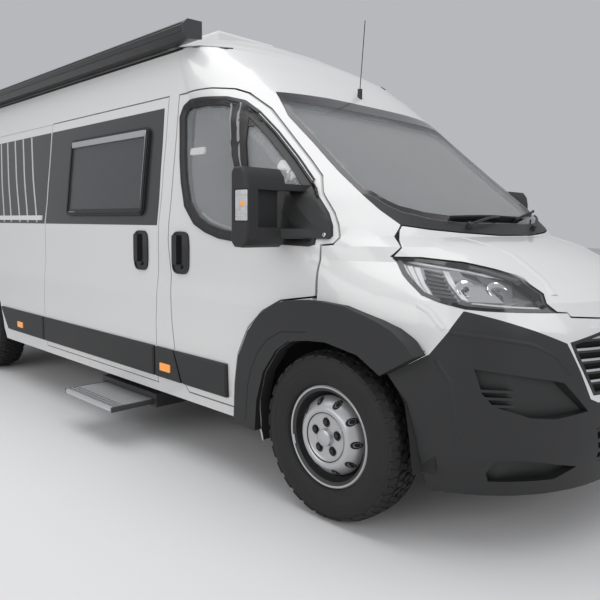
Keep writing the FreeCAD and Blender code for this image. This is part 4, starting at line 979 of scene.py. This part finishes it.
# Camper windows: top-hung double acrylic panes in black polyurethane frames, aluminium
# hinge rail and edge strips, a friction stay at each side and lever catches on the sill rail.
acrylic = finish_of("tinted_acrylic", (0.085, 0.088, 0.092), 0.05, coat=0.5, grain=0.02, alpha=0.58)
frame_black = finish_of("window_frame_black", (0.014, 0.014, 0.015), 0.38, grain=0.2, pitch=0.002)
brushed = finish_of("brushed_aluminium", (0.60, 0.61, 0.62), 0.30, metal=0.9, grain=0.15,
                    pitch=0.001)
window_skin = skin_of("camper_windows")
for side, name in SIDES:
    reach = flank(window_skin, side, AXLE)
    outline = rounded(-2.430, -1.450, 1.310, 1.810, 0.045, 6)
    edge = resampled(outline, 0.05)
    ring = band(edge, drawn_in(edge, 0.040), reach, -0.016, 0.0)
    ring2 = band(drawn_in(edge, 0.012), drawn_in(edge, 0.022), reach, -0.001, 0.0035)
    shape("camper_window_frame_" + name, *joined(ring, ring2), frame_black, "body",
          "tinted_glass", ["camper_windows"] if side < 0 else ())
    pane = slab(rounded(-2.394, -1.486, 1.346, 1.774, 0.020, 5), reach, -0.010, -0.002, 0.08)
    shape("camper_window_pane_" + name, *solid(pane), acrylic, "body", "tinted_glass")
    rail = slab(oblong(-2.396, -1.492, 1.757, 1.792), reach, -0.002, 0.010, 0.08)
    strip = slab(oblong(-1.490, -1.478, 1.40, 1.792), reach, -0.002, 0.007, 0.08)
    tab = slab(oblong(-2.378, -2.300, 1.322, 1.336), reach, 0.0, 0.003, 0.03)
    shape("camper_window_hinge_rail_" + name, *solid(rail, strip, tab), brushed, "body",
          "awning_case")
    stays = []
    for x in (-2.345, -1.535):
        stays.append(tube([reach(x, z, -0.024) for z in (1.44, 1.52, 1.60, 1.70)], 0.006, 8))
        stays.append(tube([reach(x, 1.60, -0.024), reach(x + 0.02, 1.66, -0.020)], 0.008, 8))
    stays.append(tube([reach(-2.31 + 0.1 * k, 1.392, -0.024) for k in range(9)], 0.009, 8))
    shape("camper_window_stays_" + name, *joined(*stays), brushed, "body", "awning_case")
    catch = box_piece(AXLE - 2.00, AXLE - 1.90, *sided(0.930, 0.948, side), 1.378, 1.406, 0.004)
    shape("camper_window_catch_" + name, *catch, frame_black, "body", "grey_plastic")

# Curtains: light cotton gathered at the rear end of each camper window, hung from a slim
# rail on the wall lining.
CURTAIN_TOP = 1.796
CURTAIN_WIDTH = 0.22
curtain_cloth = finish_of("curtain_cloth", (0.55, 0.54, 0.51), 0.9, grain=0.4, pitch=0.002)
for side, name in SIDES:
    wall = flank(wall_skin, side, AXLE)
    rail = tube([wall(-2.44 + 0.1 * k, 1.806, -0.072) for k in range(11)], 0.007, 8)
    shape("curtain_rail_" + name, *rail, blind_rail, "body", "mattress")
    foot = 1.34 if side < 0 else 1.44
    points = []
    columns, rows = 61, 10
    for c in range(columns):
        x = -2.39 + CURTAIN_WIDTH * c / (columns - 1)
        for r in range(rows + 1):
            z = foot + (CURTAIN_TOP - foot) * r / rows
            sway = 0.009 * math.sin(c / (columns - 1) * math.pi * 11) * (1 - 0.25 * r / rows)
            points.append(wall(x, z, -0.076 + sway))
    faces = strips(columns, rows + 1, across=True)
    made = shape("curtain_" + name, points, faces, curtain_cloth, "body", "mattress", angle=180)

# Roof joint: the moulded high roof is bonded over the side walls; a black rubber gutter
# covers the joint and a fine pressed line runs below it, drawn as a thin grey film of painted
# shade.
WALL_END = AXLE - 4.975
# The grey of the pressed line is painted shade.
pressed_line_shade = finish_of("seam_shadow", (0.22, 0.22, 0.22), 0.6, grain=0.2, pitch=0.003)
upper_skin = skin_of("roof", "side_right", "side_left", "sliding_door", "cab_frame")
gutters, lines = [], []
for side in (-1, 1):
    reach = flank(upper_skin, side)
    strip = oblong(WALL_END, AXLE - 1.05, 2.204, 2.214)
    gutters.append(slab(strip, reach, -0.002, 0.006, 0.10))
    line = oblong(WALL_END, AXLE - 1.300, 1.9535, 1.9560)
    lines.append(slab(line, reach, None, 0.0006, 0.10))
shape("roof_gutters", *solid(*gutters), seal, "body", "grey_plastic")
shape("roof_pressed_lines", *joined(*lines), pressed_line_shade, "body", "white_paint")

# Awning: closed box of extruded aluminium with a hinged front profile, plastic end caps and
# three brackets over the gutter.
case_paint = finish_of("awning_paint", (0.013, 0.0135, 0.014), 0.34, coat=0.3, grain=0.06,
                       pitch=0.002)
cap_grey = finish_of("end_cap_grey", (0.045, 0.045, 0.048), 0.5, grain=0.25, pitch=0.002)
surface("awning", case_paint, "awning_case", 30)
SECTION = ((-0.826, 2.240), (-0.905, 2.232), (-0.940, 2.256), (-0.944, 2.292), (-0.915, 2.322),
           (-0.826, 2.326))
AWNING_LENGTH = 3.640
AWNING_FRONT = AXLE - 1.110
AWNING_REAR = AWNING_FRONT - AWNING_LENGTH


def carried(section, x0, x1):
    """A section in y and z carried from one station to another."""
    n = len(section)
    points = [(x, y, z) for x in (x0, x1) for y, z in section]
    faces = [list(range(n)), list(range(n, 2 * n))]
    faces += [[i, (i + 1) % n, (i + 1) % n + n, i + n] for i in range(n)]
    return points, faces


caps = []
for x0, x1 in ((AWNING_FRONT - 0.002, AWNING_FRONT + 0.012),
               (AWNING_REAR - 0.012, AWNING_REAR + 0.002)):
    caps.append(carried(drawn_in(SECTION, -0.003), x0, x1))
shape("awning_end_caps", *solid(*caps), cap_grey, "body", "grey_plastic")
seams = []
for y, z in ((-0.9418, 2.2645), (-0.9325, 2.3055)):
    seams.append(box_piece(AWNING_REAR + 0.01, AWNING_FRONT - 0.01, y - 0.003, y + 0.001,
                           z - 0.002, z + 0.002, 0.0008))
shape("awning_seams", *joined(*seams), cap_grey, "body", "grey_plastic")

# Roof lights and aerial: two acrylic domes in white frames sealed to the roof, and a black
# base over the windscreen with a raked spring-steel whip.
dome_acrylic = finish_of("smoked_dome", (0.10, 0.10, 0.11), 0.08, coat=0.6, grain=0.02,
                         alpha=0.85)


def islands(node):
    """The separate solids of a node as their own points and faces, widest first."""
    points, faces = welded(node)
    owner = list(range(len(points)))

    def root(i):
        while owner[i] != i:
            owner[i] = owner[owner[i]]
            i = owner[i]
        return i

    for loop in faces:
        for a, b in zip(loop, loop[1:]):
            owner[root(a)] = root(b)
    groups = {}
    for loop in faces:
        groups.setdefault(root(loop[0]), []).append(loop)
    made = []
    for loops in groups.values():
        used = sorted({i for loop in loops for i in loop})
        number = {old: new for new, old in enumerate(used)}
        made.append(([points[i] for i in used], [[number[i] for i in loop] for loop in loops]))
    return sorted(made, key=lambda part: -max(p.x for p in part[0]) + min(p.x for p in part[0]))


parts = islands("roof_fittings")
shape("roof_light_frames", *joined(*parts[:2]), paint, "body", "tinted_glass", ["roof_fittings"])
shape("aerial_whip", *parts[2], wiper_black, "body", "grey_plastic")
for name, x, half, deep in (("large", -2.050, 0.350, 0.250), ("small", -3.900, 0.200, 0.200)):
    points = []
    steps = 10
    for i in range(steps + 1):
        for j in range(steps + 1):
            u, v = -1 + 2 * i / steps, -1 + 2 * j / steps
            rise = max(0.0, (1 - u ** 4) * (1 - v ** 4)) ** 0.5
            points.append((AXLE + x + u * (half - 0.045), v * (deep - 0.045),
                           2.5325 + 0.0024 * rise))
    faces = strips(steps + 1, steps + 1, across=True)
    shape("roof_light_dome_" + name, points, faces, dome_acrylic, "body", "tinted_glass")

# Entrance step: extruded aluminium tread with three grip grooves and a round nosing, black
# end caps, running on slides in a steel housing under the sill.
tread_metal = finish_of("anodised_step", (0.58, 0.59, 0.60), 0.34, metal=0.75, grain=0.25,
                        pitch=0.002, cloud=0.06, patch=0.15)
housing_steel = finish_of("black_steel", (0.035, 0.035, 0.037), 0.5, metal=0.3, grain=0.3,
                          pitch=0.003)
surface("step_housing", housing_steel, "underbody", 30)
REAR_END, FRONT_END, EDGE, FOOT = AXLE - 1.980, AXLE - 1.400, -1.235, 0.212
profile = [(EDGE + 0.006, FOOT), (EDGE, FOOT + 0.006), (EDGE, FOOT + 0.018),
           (EDGE + 0.003, FOOT + 0.026), (EDGE + 0.010, FOOT + 0.030)]
for groove in (0.028, 0.052, 0.076):
    y = EDGE + groove
    profile += [(y - 0.005, FOOT + 0.030), (y - 0.004, FOOT + 0.022), (y + 0.004, FOOT + 0.022),
                (y + 0.005, FOOT + 0.030)]
for rib in range(12):
    y = EDGE + 0.100 + rib * 0.020
    profile += [(y, FOOT + 0.0285), (y + 0.004, FOOT + 0.0295), (y + 0.008, FOOT + 0.0285)]
profile += [(EDGE + 0.360, FOOT + 0.0285), (EDGE + 0.360, FOOT)]
tread = carried(profile, REAR_END + 0.012, FRONT_END - 0.012)
shape("step_tread_profile", *solid(tread), tread_metal, "step", "step_aluminium",
      ["step_tread"], 20)
ends = [box_piece(x, x + 0.0125, EDGE, EDGE + 0.355, FOOT, FOOT + 0.030, 0.004)
        for x in (REAR_END, FRONT_END - 0.0125)]
shape("step_end_caps", *joined(*ends), cap_grey, "step", "grey_plastic")
grooves = [box_piece(REAR_END + 0.013, FRONT_END - 0.013, y - 0.004, y + 0.004, FOOT + 0.0212,
                     FOOT + 0.0226, 0) for y in (EDGE + 0.028, EDGE + 0.052, EDGE + 0.076)]
shape("step_grip_strips", *joined(*grooves), rubber, "step", "tyre")

# Rear doors' glass: tempered privacy panes, each with a black ceramic border, bonded into its
# door and edged by a rubber ring.
privacy = finish_of("privacy_glass", (0.030, 0.032, 0.035), 0.05, coat=0.5, grain=0.01,
                    alpha=0.86)
REAR_FACE = AXLE - 4.985
REAR_WINDOW = ((0.150, 1.330), (0.700, 1.330), (0.680, 1.820), (0.160, 1.820))
for side, name in SIDES:
    surface("rear_door_glass_" + name, privacy, "tinted_glass", 30)
    reach = lambda y, z, t: Vector((REAR_FACE + 0.010 - t, side * y, z))
    edge = resampled(REAR_WINDOW, 0.04)
    ring = band(drawn_in(edge, 0.001), drawn_in(edge, 0.030), reach, 0.0, 0.0006)
    rubber_ring = band(drawn_in(edge, -0.006), drawn_in(edge, 0.006), reach, -0.002, 0.013)
    shape("rear_glass_border_" + name, *joined(ring, rubber_ring), seal, "rear_door_" + name,
          "tinted_glass")

# Rear door fittings: pressed field under a lamp bar on the left door, a pull handle with its
# lock on the right door, rubber seal down the middle gap, pressed swages, and a high brake lamp
# screwed to the tail frame over them.
red_lens = finish_of("red_lens", (0.55, 0.015, 0.012), 0.14, coat=0.7, grain=0.5, pitch=0.005,
                     glow=0.10)
white_lens = finish_of("white_lens", (0.75, 0.75, 0.74), 0.12, coat=0.7, grain=0.5, pitch=0.005,
                       alpha=0.85)


def behind(x0, x1, y0, y1, z0, z1, r=0.003):
    """A rounded block by its distances behind the tail."""
    return box_piece(REAR_FACE - x1, REAR_FACE - x0, y0, y1, z0, z1, r)


field = rounded(0.110, 0.690, 0.965, 1.150, 0.020, 5)
edge = resampled(field, 0.03)
reach = lambda y, z, t: Vector((REAR_FACE - t, y, z))
ring = band(edge, drawn_in(edge, 0.012), reach, 0.0, 0.005)
shape("plate_field_frame", *ring, paint, "rear_door_left", "white_paint", angle=40)
bar = behind(0.0, 0.018, 0.120, 0.620, 1.160, 1.200, 0.006)
shape("plate_lamp_bar", *bar, plastic, "rear_door_left", "grey_plastic")
lights = [behind(0.008, 0.022, y - 0.025, y + 0.025, 1.157, 1.163, 0.001) for y in (0.25, 0.55)]
shape("plate_lamps", *joined(*lights), white_lens, "rear_door_left", "lamp_clear")
cup = behind(-0.002, 0.006, -0.130, -0.035, 0.985, 1.195, 0.003)
grip = behind(0.010, 0.030, -0.108, -0.070, 1.010, 1.175, 0.008)
posts = [behind(0.0, 0.016, -0.104, -0.074, z, z + 0.024, 0.003) for z in (1.012, 1.148)]
shape("rear_door_handle", *joined(cup, grip, *posts), wiper_black, "rear_door_right",
      "grey_plastic")
lock = turned([(0.0, 0.013), (0.008, 0.012), (0.010, 0.009), (0.010, 0.0)],
              (REAR_FACE - 0.005, -0.052, 1.005), (-1, 0, 0), 20)
shape("rear_door_lock", *lock, bolt_steel, "rear_door_right", "steel")
lip = behind(-0.004, 0.003, -0.012, 0.004, 0.520, 2.270, 0.001)
shape("rear_door_middle_seal", *lip, seal, "rear_door_right", "grey_plastic")
for side, name in SIDES:
    beads = []
    for z in (0.620, 0.900, 1.255):
        beads.append(behind(0.0, 0.0035, *sided(0.060, 0.735, side), z, z + 0.020, 0.003))
    shape("rear_door_swages_" + name, *joined(*beads), paint, "rear_door_" + name, "white_paint")
brake_lamp = behind(0.0, 0.016, -0.150, 0.150, 2.310, 2.338, 0.005)
shape("high_brake_lamp", *brake_lamp, red_lens, "body", "lamp_red")

# Tail lamps: moulded lens stacks screwed to the rear corners, red brake and tail lamp at the
# top, amber indicator, clear reversing lamp and a red fog lamp at the foot.
surface("tail_lamps", red_lens, "lamp_red", 30)
for side, name in SIDES:
    amber_part = behind(-0.008, 0.0135, *sided(0.844, 0.921, side), 1.225, 1.325, 0.002)
    clear_part = behind(-0.008, 0.0135, *sided(0.844, 0.921, side), 1.085, 1.185, 0.002)
    shape("tail_lamp_indicator_" + name, *amber_part, amber, "body", "lamp_red")
    shape("tail_lamp_reversing_" + name, *clear_part, white_lens, "body", "lamp_clear")
    joints = [behind(-0.008, 0.0142, *sided(0.841, 0.924, side), z - 0.003, z + 0.003, 0.0008)
              for z in (0.985, 1.080, 1.190, 1.220, 1.330)]
    frame_bars = [behind(-0.010, 0.016, *sided(y0, y1, side), z0, z1, 0.002)
                  for y0, y1, z0, z1 in ((0.836, 0.842, 0.896, 1.464), (0.840, 0.925, 1.458, 1.466),
                                         (0.840, 0.925, 0.894, 0.902))]
    shape("tail_lamp_frame_" + name, *joined(*joints, *frame_bars), plastic, "body",
          "grey_plastic")

# Cab seats: two captain's chairs on steel boxes; moulded foam cushion, backrest and headrest
# under stitched grey woven cloth, folding armrests.
seat_cloth = finish_of("seat_cloth", (0.115, 0.118, 0.125), 0.92, grain=0.7, pitch=0.0022,
                       cloud=0.10, patch=0.05)
seat_edge = finish_of("seat_side_cloth", (0.045, 0.046, 0.050), 0.9, grain=0.6, pitch=0.002)
box_steel = finish_of("seat_box_paint", (0.060, 0.061, 0.064), 0.5, grain=0.2, pitch=0.003)


def stuffed(centre, half, square=0.38, crown=0.0, lean=0.0, groove=0.0, count=28):
    """A foam pad: a rounded block with a crowned face, two sewn grooves and a lean."""
    points = []
    rows = count // 2
    for i in range(rows + 1):
        v = math.pi * (i / rows - 0.5)
        for j in range(count):
            u = 2 * math.pi * j / count
            px, py, pz = math.cos(v) * math.cos(u), math.cos(v) * math.sin(u), math.sin(v)
            x, y, z = [math.copysign(abs(p) ** square, p) for p in (px, py, pz)]
            swell = 1 + crown * (1 - y * y) * (1 - x * x)
            dent = groove * (math.exp(-((y - 0.55) / 0.07) ** 2)
                             + math.exp(-((y + 0.55) / 0.07) ** 2))
            local = Vector((x * half[0], y * half[1], z * half[2] * swell - (dent if z > 0 else 0)))
            points.append(Matrix.Rotation(lean, 3, "Y") @ local + Vector(centre))
    return points, strips(rows + 1, count, closed=True)


for side, name in SIDES:
    y = side * 0.430
    x = AXLE - 0.960
    base = box_piece(x - 0.165, x + 0.185, y - 0.185, y + 0.185, 0.5355, 0.770, 0.012)
    rails = [box_piece(x - 0.20, x + 0.22, y + s - 0.02, y + s + 0.02, 0.768, 0.802, 0.006)
             for s in (-0.15, 0.15)]
    replaced = ["seats"] if side < 0 else ()
    shape("seat_box_" + name, *joined(base, *rails), box_steel, "body", "seat_fabric", replaced)
    for tag, *pad in (("cushion", (x + 0.015, y, 0.866), (0.262, 0.248, 0.066), 0.34, 0.16,
                       0.06, 0.007, 44),
                      ("backrest", (x - 0.212, y, 1.190), (0.335, 0.238, 0.062), 0.34, 0.18,
                       math.radians(-82), 0.008, 44)):
        made = shape("seat_%s_%s" % (tag, name), *stuffed(*pad), seat_cloth, "body",
                     "seat_fabric", angle=180)
    made = shape("seat_headrest_" + name, *stuffed((x - 0.262, y, 1.606), (0.082, 0.128, 0.048),
                                                   0.42, 0.15, math.radians(-84), 0.0, 32),
                 seat_cloth, "body", "seat_fabric", angle=180)
    stems = [tube([(x - 0.262, y + s, 1.50), (x - 0.262, y + s, 1.56)], 0.007, 8)
             for s in (-0.06, 0.06)]
    shape("seat_headrest_stems_" + name, *joined(*stems), bolt_steel, "body", "steel")
    for s, tag in ((-1, "outer"), (1, "inner")):
        made = shape("seat_armrest_%s_%s" % (tag, name),
                     *stuffed((x - 0.030, y + s * 0.268, 1.085), (0.165, 0.026, 0.028), 0.4, 0.05,
                              0.03, 0.0, 28), seat_edge, "body", "seat_fabric", angle=180)
        pin = turned([(-0.03, 0.016), (0.03, 0.016)], (x - 0.195, y + s * 0.250, 1.080),
                     (0, s, 0), 14)
        shape("seat_armrest_pin_%s_%s" % (tag, name), *pin, box_steel, "body", "seat_fabric")

# Dashboard: grained grey moulding with a hooded instrument panel, round vents at its ends, a
# centre stack with controls and a lidded box before the passenger.
dash_grey = finish_of("dashboard_grain", (0.050, 0.051, 0.054), 0.66, grain=0.5, pitch=0.0018)
dash_light = finish_of("dashboard_trim", (0.20, 0.20, 0.21), 0.4, grain=0.2, pitch=0.002)
surface("dashboard", dash_grey, "interior_plastic", 30)
vents, fins = [], []
for y in (-0.70, -0.11, 0.11, 0.70):
    vents.append(turned([(-0.01, 0.048), (0.012, 0.048), (0.014, 0.044), (0.012, 0.040),
                         (-0.004, 0.040), (-0.006, 0.0)], (AXLE - 0.285, y, 1.125),
                        (-0.83, 0, 0.55), 26))
    fins += [box_piece(AXLE - 0.300, AXLE - 0.292, y - 0.036, y + 0.036, z, z + 0.003, 0)
             for z in (1.112, 1.124, 1.136)]
shape("dashboard_vents", *joined(*vents, *fins), plastic, "body", "interior_plastic")
stack = box_piece(AXLE - 0.328, AXLE - 0.298, -0.125, 0.125, 0.955, 1.055, 0.008)
knobs = [turned([(0.0, 0.016), (0.016, 0.014), (0.018, 0.0)], (AXLE - 0.328, y, 0.985),
                (-1, 0, 0), 18) for y in (-0.08, 0.0, 0.08)]
shape("dashboard_controls", *joined(stack, *knobs), dash_light, "body", "interior_plastic")
lid = box_piece(AXLE - 0.324, AXLE - 0.298, -0.70, -0.22, 0.950, 1.045, 0.008)
grip = box_piece(AXLE - 0.330, AXLE - 0.318, -0.50, -0.42, 1.028, 1.040, 0.003)
shape("dashboard_lid", *joined(lid, grip), dash_grey, "body", "interior_plastic")

# Steering wheel: steel core in padded black moulding, three spokes, airbag cover over the
# hub and two stalks on the column.
surface("steering_wheel", wiper_black, "interior_plastic", 30)
tilt = math.radians(28)
up_column = Vector((-math.sin(tilt), 0, math.cos(tilt)))
hub = Vector((AXLE - 0.540, 0.410, 1.090))
cover = turned([(0.0, 0.072), (0.020, 0.070), (0.030, 0.058), (0.034, 0.035), (0.035, 0.0)], hub,
               up_column, 28)
shape("steering_wheel_cover", *cover, dash_grey, "steering_wheel", "interior_plastic")
stalks = [tube([hub - up_column * 0.10, hub - up_column * 0.085 + Vector((-0.02, s * 0.17, 0.01))],
               0.008, 8) for s in (-1, 1)]
shape("column_stalks", *joined(*stalks), dash_grey, "body", "interior_plastic")

# Furniture: lightweight plywood with a pale wood-effect face; kitchen block with a worktop,
# drawer fronts and push knobs, slatted frame of the cross bed on legs.
wood = finish_of("pale_wood", (0.46, 0.38, 0.28), 0.5, coat=0.1, grain=0.15, pitch=0.004,
                 cloud=0.14, patch=0.12)
worktop = finish_of("worktop_grey", (0.24, 0.24, 0.245), 0.38, grain=0.15, pitch=0.003, cloud=0.12,
                    patch=0.06)
surface("furniture", wood, "furniture", 30)
top = box_piece(AXLE - 2.704, AXLE - 1.496, 0.432, 0.874, 1.4302, 1.455, 0.004)
shape("kitchen_worktop", *top, worktop, "body", "furniture")
fronts, knobs = [], []
for column in range(3):
    x0 = AXLE - 2.690 + 0.396 * column
    for z0, z1 in ((0.570, 0.970), (0.978, 1.190), (1.198, 1.415)):
        fronts.append(box_piece(x0 + 0.004, x0 + 0.388, 0.4255, 0.4398, z0, z1, 0.003))
        knobs.append(turned([(0.0, 0.011), (0.006, 0.011), (0.008, 0.009), (0.008, 0.0)],
                            (x0 + 0.196, 0.4255, z1 - 0.03), (0, -1, 0), 16))
shape("kitchen_fronts", *joined(*fronts), wood, "body", "furniture")
shape("kitchen_knobs", *joined(*knobs), brushed, "body", "awning_case")
slats = [box_piece(AXLE - 4.84 + 0.132 * k, AXLE - 4.78 + 0.132 * k, -0.80, 0.80, 0.9705, 0.9795,
                   0.002) for k in range(14)]
shape("bed_slats", *joined(*slats), wood, "body", "furniture")

# Mattress: cut foam in a light cover that is quilted in squares and zipped round its edge, laid
# loose across the van on the bed's slats.
quilt = finish_of("mattress_cover", (0.60, 0.58, 0.54), 0.9, grain=0.5, pitch=0.003)
points, faces = [], []
columns, rows = 74, 66
x0, x1, y0, y1 = AXLE - 4.848, AXLE - 3.002, -0.838, 0.838
for level in (0, 1):
    for i in range(columns + 1):
        for j in range(rows + 1):
            u, v = i / columns, j / rows
            bulge = abs(math.sin(u * math.pi * 12) * math.sin(v * math.pi * 11)) ** 0.4
            rim = min(1.0, min(u, 1 - u) * 26, min(v, 1 - v) * 24) ** 0.5
            under, over = 1.0005 + 0.014 * (1 - rim), 1.088 + 0.022 * rim + 0.009 * bulge * rim
            points.append((x0 + (x1 - x0) * u, y0 + (y1 - y0) * v, over if level else under))
n = rows + 1
count = (columns + 1) * n
for i in range(columns):
    for j in range(rows):
        a = i * n + j
        faces.append([a + count, a + n + count, a + n + 1 + count, a + 1 + count])
        faces.append([a, a + 1, a + n + 1, a + n])
border = [i * n for i in range(columns + 1)] + [columns * n + j for j in range(1, n)]
border += [i * n + rows for i in range(columns - 1, -1, -1)] + list(range(rows - 1, 0, -1))
for a, b in zip(border, border[1:] + border[:1]):
    faces.append([a, b, b + count, a + count])
made = shape("mattress_pad", *facing(points, faces), quilt, "body", "mattress", ["mattress"],
             angle=60)

# Floor and linings: grained vinyl glued on plywood, the wheel boxes under a black sprayed coat
# and the bulkhead's lower panel in the van's white paint.
vinyl = finish_of("floor_vinyl", (0.17, 0.16, 0.15), 0.55, grain=0.35, pitch=0.004, cloud=0.12,
                  patch=0.10)
liner_black = finish_of("liner_black", (0.016, 0.016, 0.017), 0.85, grain=0.6, pitch=0.006)
surface("floor", vinyl, "interior_plastic", 30)
surface("wheelhouses", liner_black, "underbody", 30)
surface("bulkhead", paint, "white_paint", 30)

# Arch linings: felted black liners that close the gap between each arch's edge and the
# wheel box behind it.
ARCH = ((-0.440, 0.318), (-0.432, 0.360), (-0.420, 0.450), (-0.376, 0.591), (-0.292, 0.704),
        (-0.213, 0.757), (-0.093, 0.776), (0.009, 0.783), (0.180, 0.756), (0.292, 0.694),
        (0.372, 0.590), (0.408, 0.450), (0.420, 0.360), (0.428, 0.318))
LINER = ((-0.466, 0.318), (-0.465, 0.370), (-0.462, 0.430), (-0.400, 0.640), (-0.300, 0.760),
         (-0.240, 0.782), (-0.120, 0.810), (0.000, 0.820), (0.180, 0.808), (0.310, 0.765),
         (0.410, 0.670), (0.450, 0.570), (0.468, 0.500), (0.480, 0.318))


def grown(outline, width):
    """An arch's outline moved away from the wheel's centre."""
    moved = []
    for x, z in outline:
        run = math.hypot(x, z - WHEEL_HEIGHT)
        moved.append((x + width * x / run, z + width * (z - WHEEL_HEIGHT) / run))
    return moved


def filled_in(outline):
    """An open outline with more points between its own."""
    each, points = 4, []
    for (u0, v0), (u1, v1) in zip(outline, outline[1:]):
        points += [(u0 + (u1 - u0) * k / each, v0 + (v1 - v0) * k / each) for k in range(each)]
    return points + [outline[-1]]


for end, station, growth in (("front", AXLE, 0.0), ("rear", REAR_AXLE, 0.030)):
    for side, name in SIDES:
        if end == "front":
            skin = skin_of("fenders", "cab_frame", "front_door_" + name)
            edge = ((-0.4385, 0.238), (-0.4275, 0.318), (-0.4225, 0.360)) + ARCH[2:]
            back, deep = ((-0.466, 0.238),) + LINER, 0.0005
        else:
            skin, edge, back, deep = wall_skin, ARCH, LINER, 0.016
        lip = filled_in(grown(edge, growth - 0.0015))
        edge_face = filled_in(grown(edge, growth + 0.045))
        rows = [[], [], []]
        for (x, z), (xa, za), (xl, zl) in zip(lip, edge_face, filled_in(back)):
            face_y = abs(on_flank(skin, station + xa, za, side, 0).y)
            rows[0].append((station + x, side * (face_y - deep), z))
            rows[1].append((station + x, side * (face_y - 0.0615), z))
            rows[2].append((station + xl, side * (face_y - 0.075), zl))
        shape("arch_lining_%s_%s" % (end, name), rows[0] + rows[1] + rows[2],
              strips(3, len(lip)), liner_black, "body", "underbody")

# Running gear: welded rails and axle frames in black wax coat, engine block of cast
# aluminium, polyethylene tanks on steel straps and a rust-brown exhaust.
wax_coat = finish_of("wax_coat", (0.022, 0.022, 0.023), 0.55, grain=0.6, pitch=0.006, cloud=0.2,
                     patch=0.2)
cast_aluminium = finish_of("cast_aluminium", (0.34, 0.34, 0.34), 0.55, metal=0.8, grain=0.5,
                           pitch=0.004)
tank_black = finish_of("tank_polyethylene", (0.020, 0.020, 0.021), 0.5, grain=0.4, pitch=0.004)
exhaust_steel = finish_of("exhaust_steel", (0.20, 0.155, 0.12), 0.55, metal=0.7, grain=0.5,
                          pitch=0.005, cloud=0.25, patch=0.08)
for node, look, slot in (("chassis_rails", wax_coat, "underbody"),
                         ("front_axle_frame", wax_coat, "underbody"),
                         ("rear_axle", wax_coat, "steel"), ("engine", cast_aluminium, "steel"),
                         ("knuckle_right", bolt_steel, "steel"),
                         ("knuckle_left", bolt_steel, "steel")):
    surface(node, look, slot, 30)
hung = islands("tanks_and_exhaust")
exhaust = [part for part in hung if min(p.y for p in part[0]) > 0.1]
tanks = [part for part in hung if min(p.y for p in part[0]) <= 0.1]
shape("fuel_and_waste_tanks", *joined(*tanks), tank_black, "body", "underbody",
      ["tanks_and_exhaust"])
shape("exhaust_and_silencer", *joined(*exhaust), exhaust_steel, "body", "steel")
dampers = []
for s in (-1, 1):
    foot = Vector((REAR_AXLE - 0.06, s * 0.50, 0.345))
    head = Vector((REAR_AXLE - 0.26, s * 0.44, 0.490))
    dampers.append(tube([foot, foot.lerp(head, 0.55)], 0.030, 14))
    dampers.append(tube([foot.lerp(head, 0.5), head], 0.022, 14))
shape("rear_dampers", *joined(*dampers), wax_coat, "body", "underbody")

# Stage: a pale floor, three soft studio lamps under an even sky, and the camera where the
# photograph was taken.
def stage_plane(name, centre, half, look):
    """A square of floor round a centre."""
    mesh = bpy.data.meshes.new(name)
    x, y, z = centre
    mesh.from_pydata([(x - half, y - half, z), (x + half, y - half, z), (x + half, y + half, z),
                      (x - half, y + half, z)], [], [(0, 1, 2, 3)])
    mesh.materials.append(look)
    piece = bpy.data.objects.new(name, mesh)
    bpy.context.scene.collection.objects.link(piece)


floor_look = finish_of("studio_floor", (0.72, 0.72, 0.72), 0.75, grain=0.05, pitch=0.02, cloud=0.01,
                       patch=3.0)
stage_plane("studio_floor", (0, 0, 0), 40, floor_look)


def lamp(name, place, target, breadth, power):
    """A soft lamp that looks at a target."""
    light = bpy.data.lights.new(name, "AREA")
    light.shape = "RECTANGLE"
    light.size, light.size_y = breadth
    light.energy = power
    piece = bpy.data.objects.new(name, light)
    piece.location = place
    piece.rotation_mode = "QUATERNION"
    piece.rotation_quaternion = (Vector(target) - Vector(place)).to_track_quat("-Z", "Y")
    bpy.context.scene.collection.objects.link(piece)


lamp("overhead_softbox", (0.5, -1.0, 6.5), (0.3, 0, 1.0), (9, 5), 265)
lamp("side_softbox", (1.0, -8.0, 3.4), (0.0, 0, 1.2), (9, 3.4), 180)
lamp("front_softbox", (8.5, -1.5, 3.0), (1.5, 0, 1.1), (4, 3), 90)
world = bpy.data.worlds.new("studio")
world.use_nodes = True
world.node_tree.nodes["Background"].inputs["Color"].default_value = (0.95, 0.96, 1.0, 1)
world.node_tree.nodes["Background"].inputs["Strength"].default_value = 0.50
bpy.context.scene.world = world
bpy.context.scene.view_settings.view_transform = "Standard"

eye = Vector((3.810, -2.926, 1.263))
yaw, pitch, roll = math.radians(134.948), math.radians(-6.72), 0.012
ahead = Vector((math.cos(yaw) * math.cos(pitch), math.sin(yaw) * math.cos(pitch),
                math.sin(pitch)))
right_way = ahead.cross(Vector((0, 0, 1))).normalized()
up_way = right_way.cross(ahead)
lens = bpy.data.cameras.new("photo_camera")
lens.sensor_width = 36.0
lens.lens = 38.03
lens.clip_start, lens.clip_end = 0.05, 200
camera = bpy.data.objects.new("photo_camera", lens)
turned_right = right_way * math.cos(roll) + up_way * math.sin(roll)
turned_up = up_way * math.cos(roll) - right_way * math.sin(roll)
rows = [[turned_right[k], turned_up[k], -ahead[k], eye[k]] for k in range(3)]
camera.matrix_world = Matrix(rows + [[0, 0, 0, 1]])
bpy.context.scene.collection.objects.link(camera)
bpy.context.scene.camera = camera
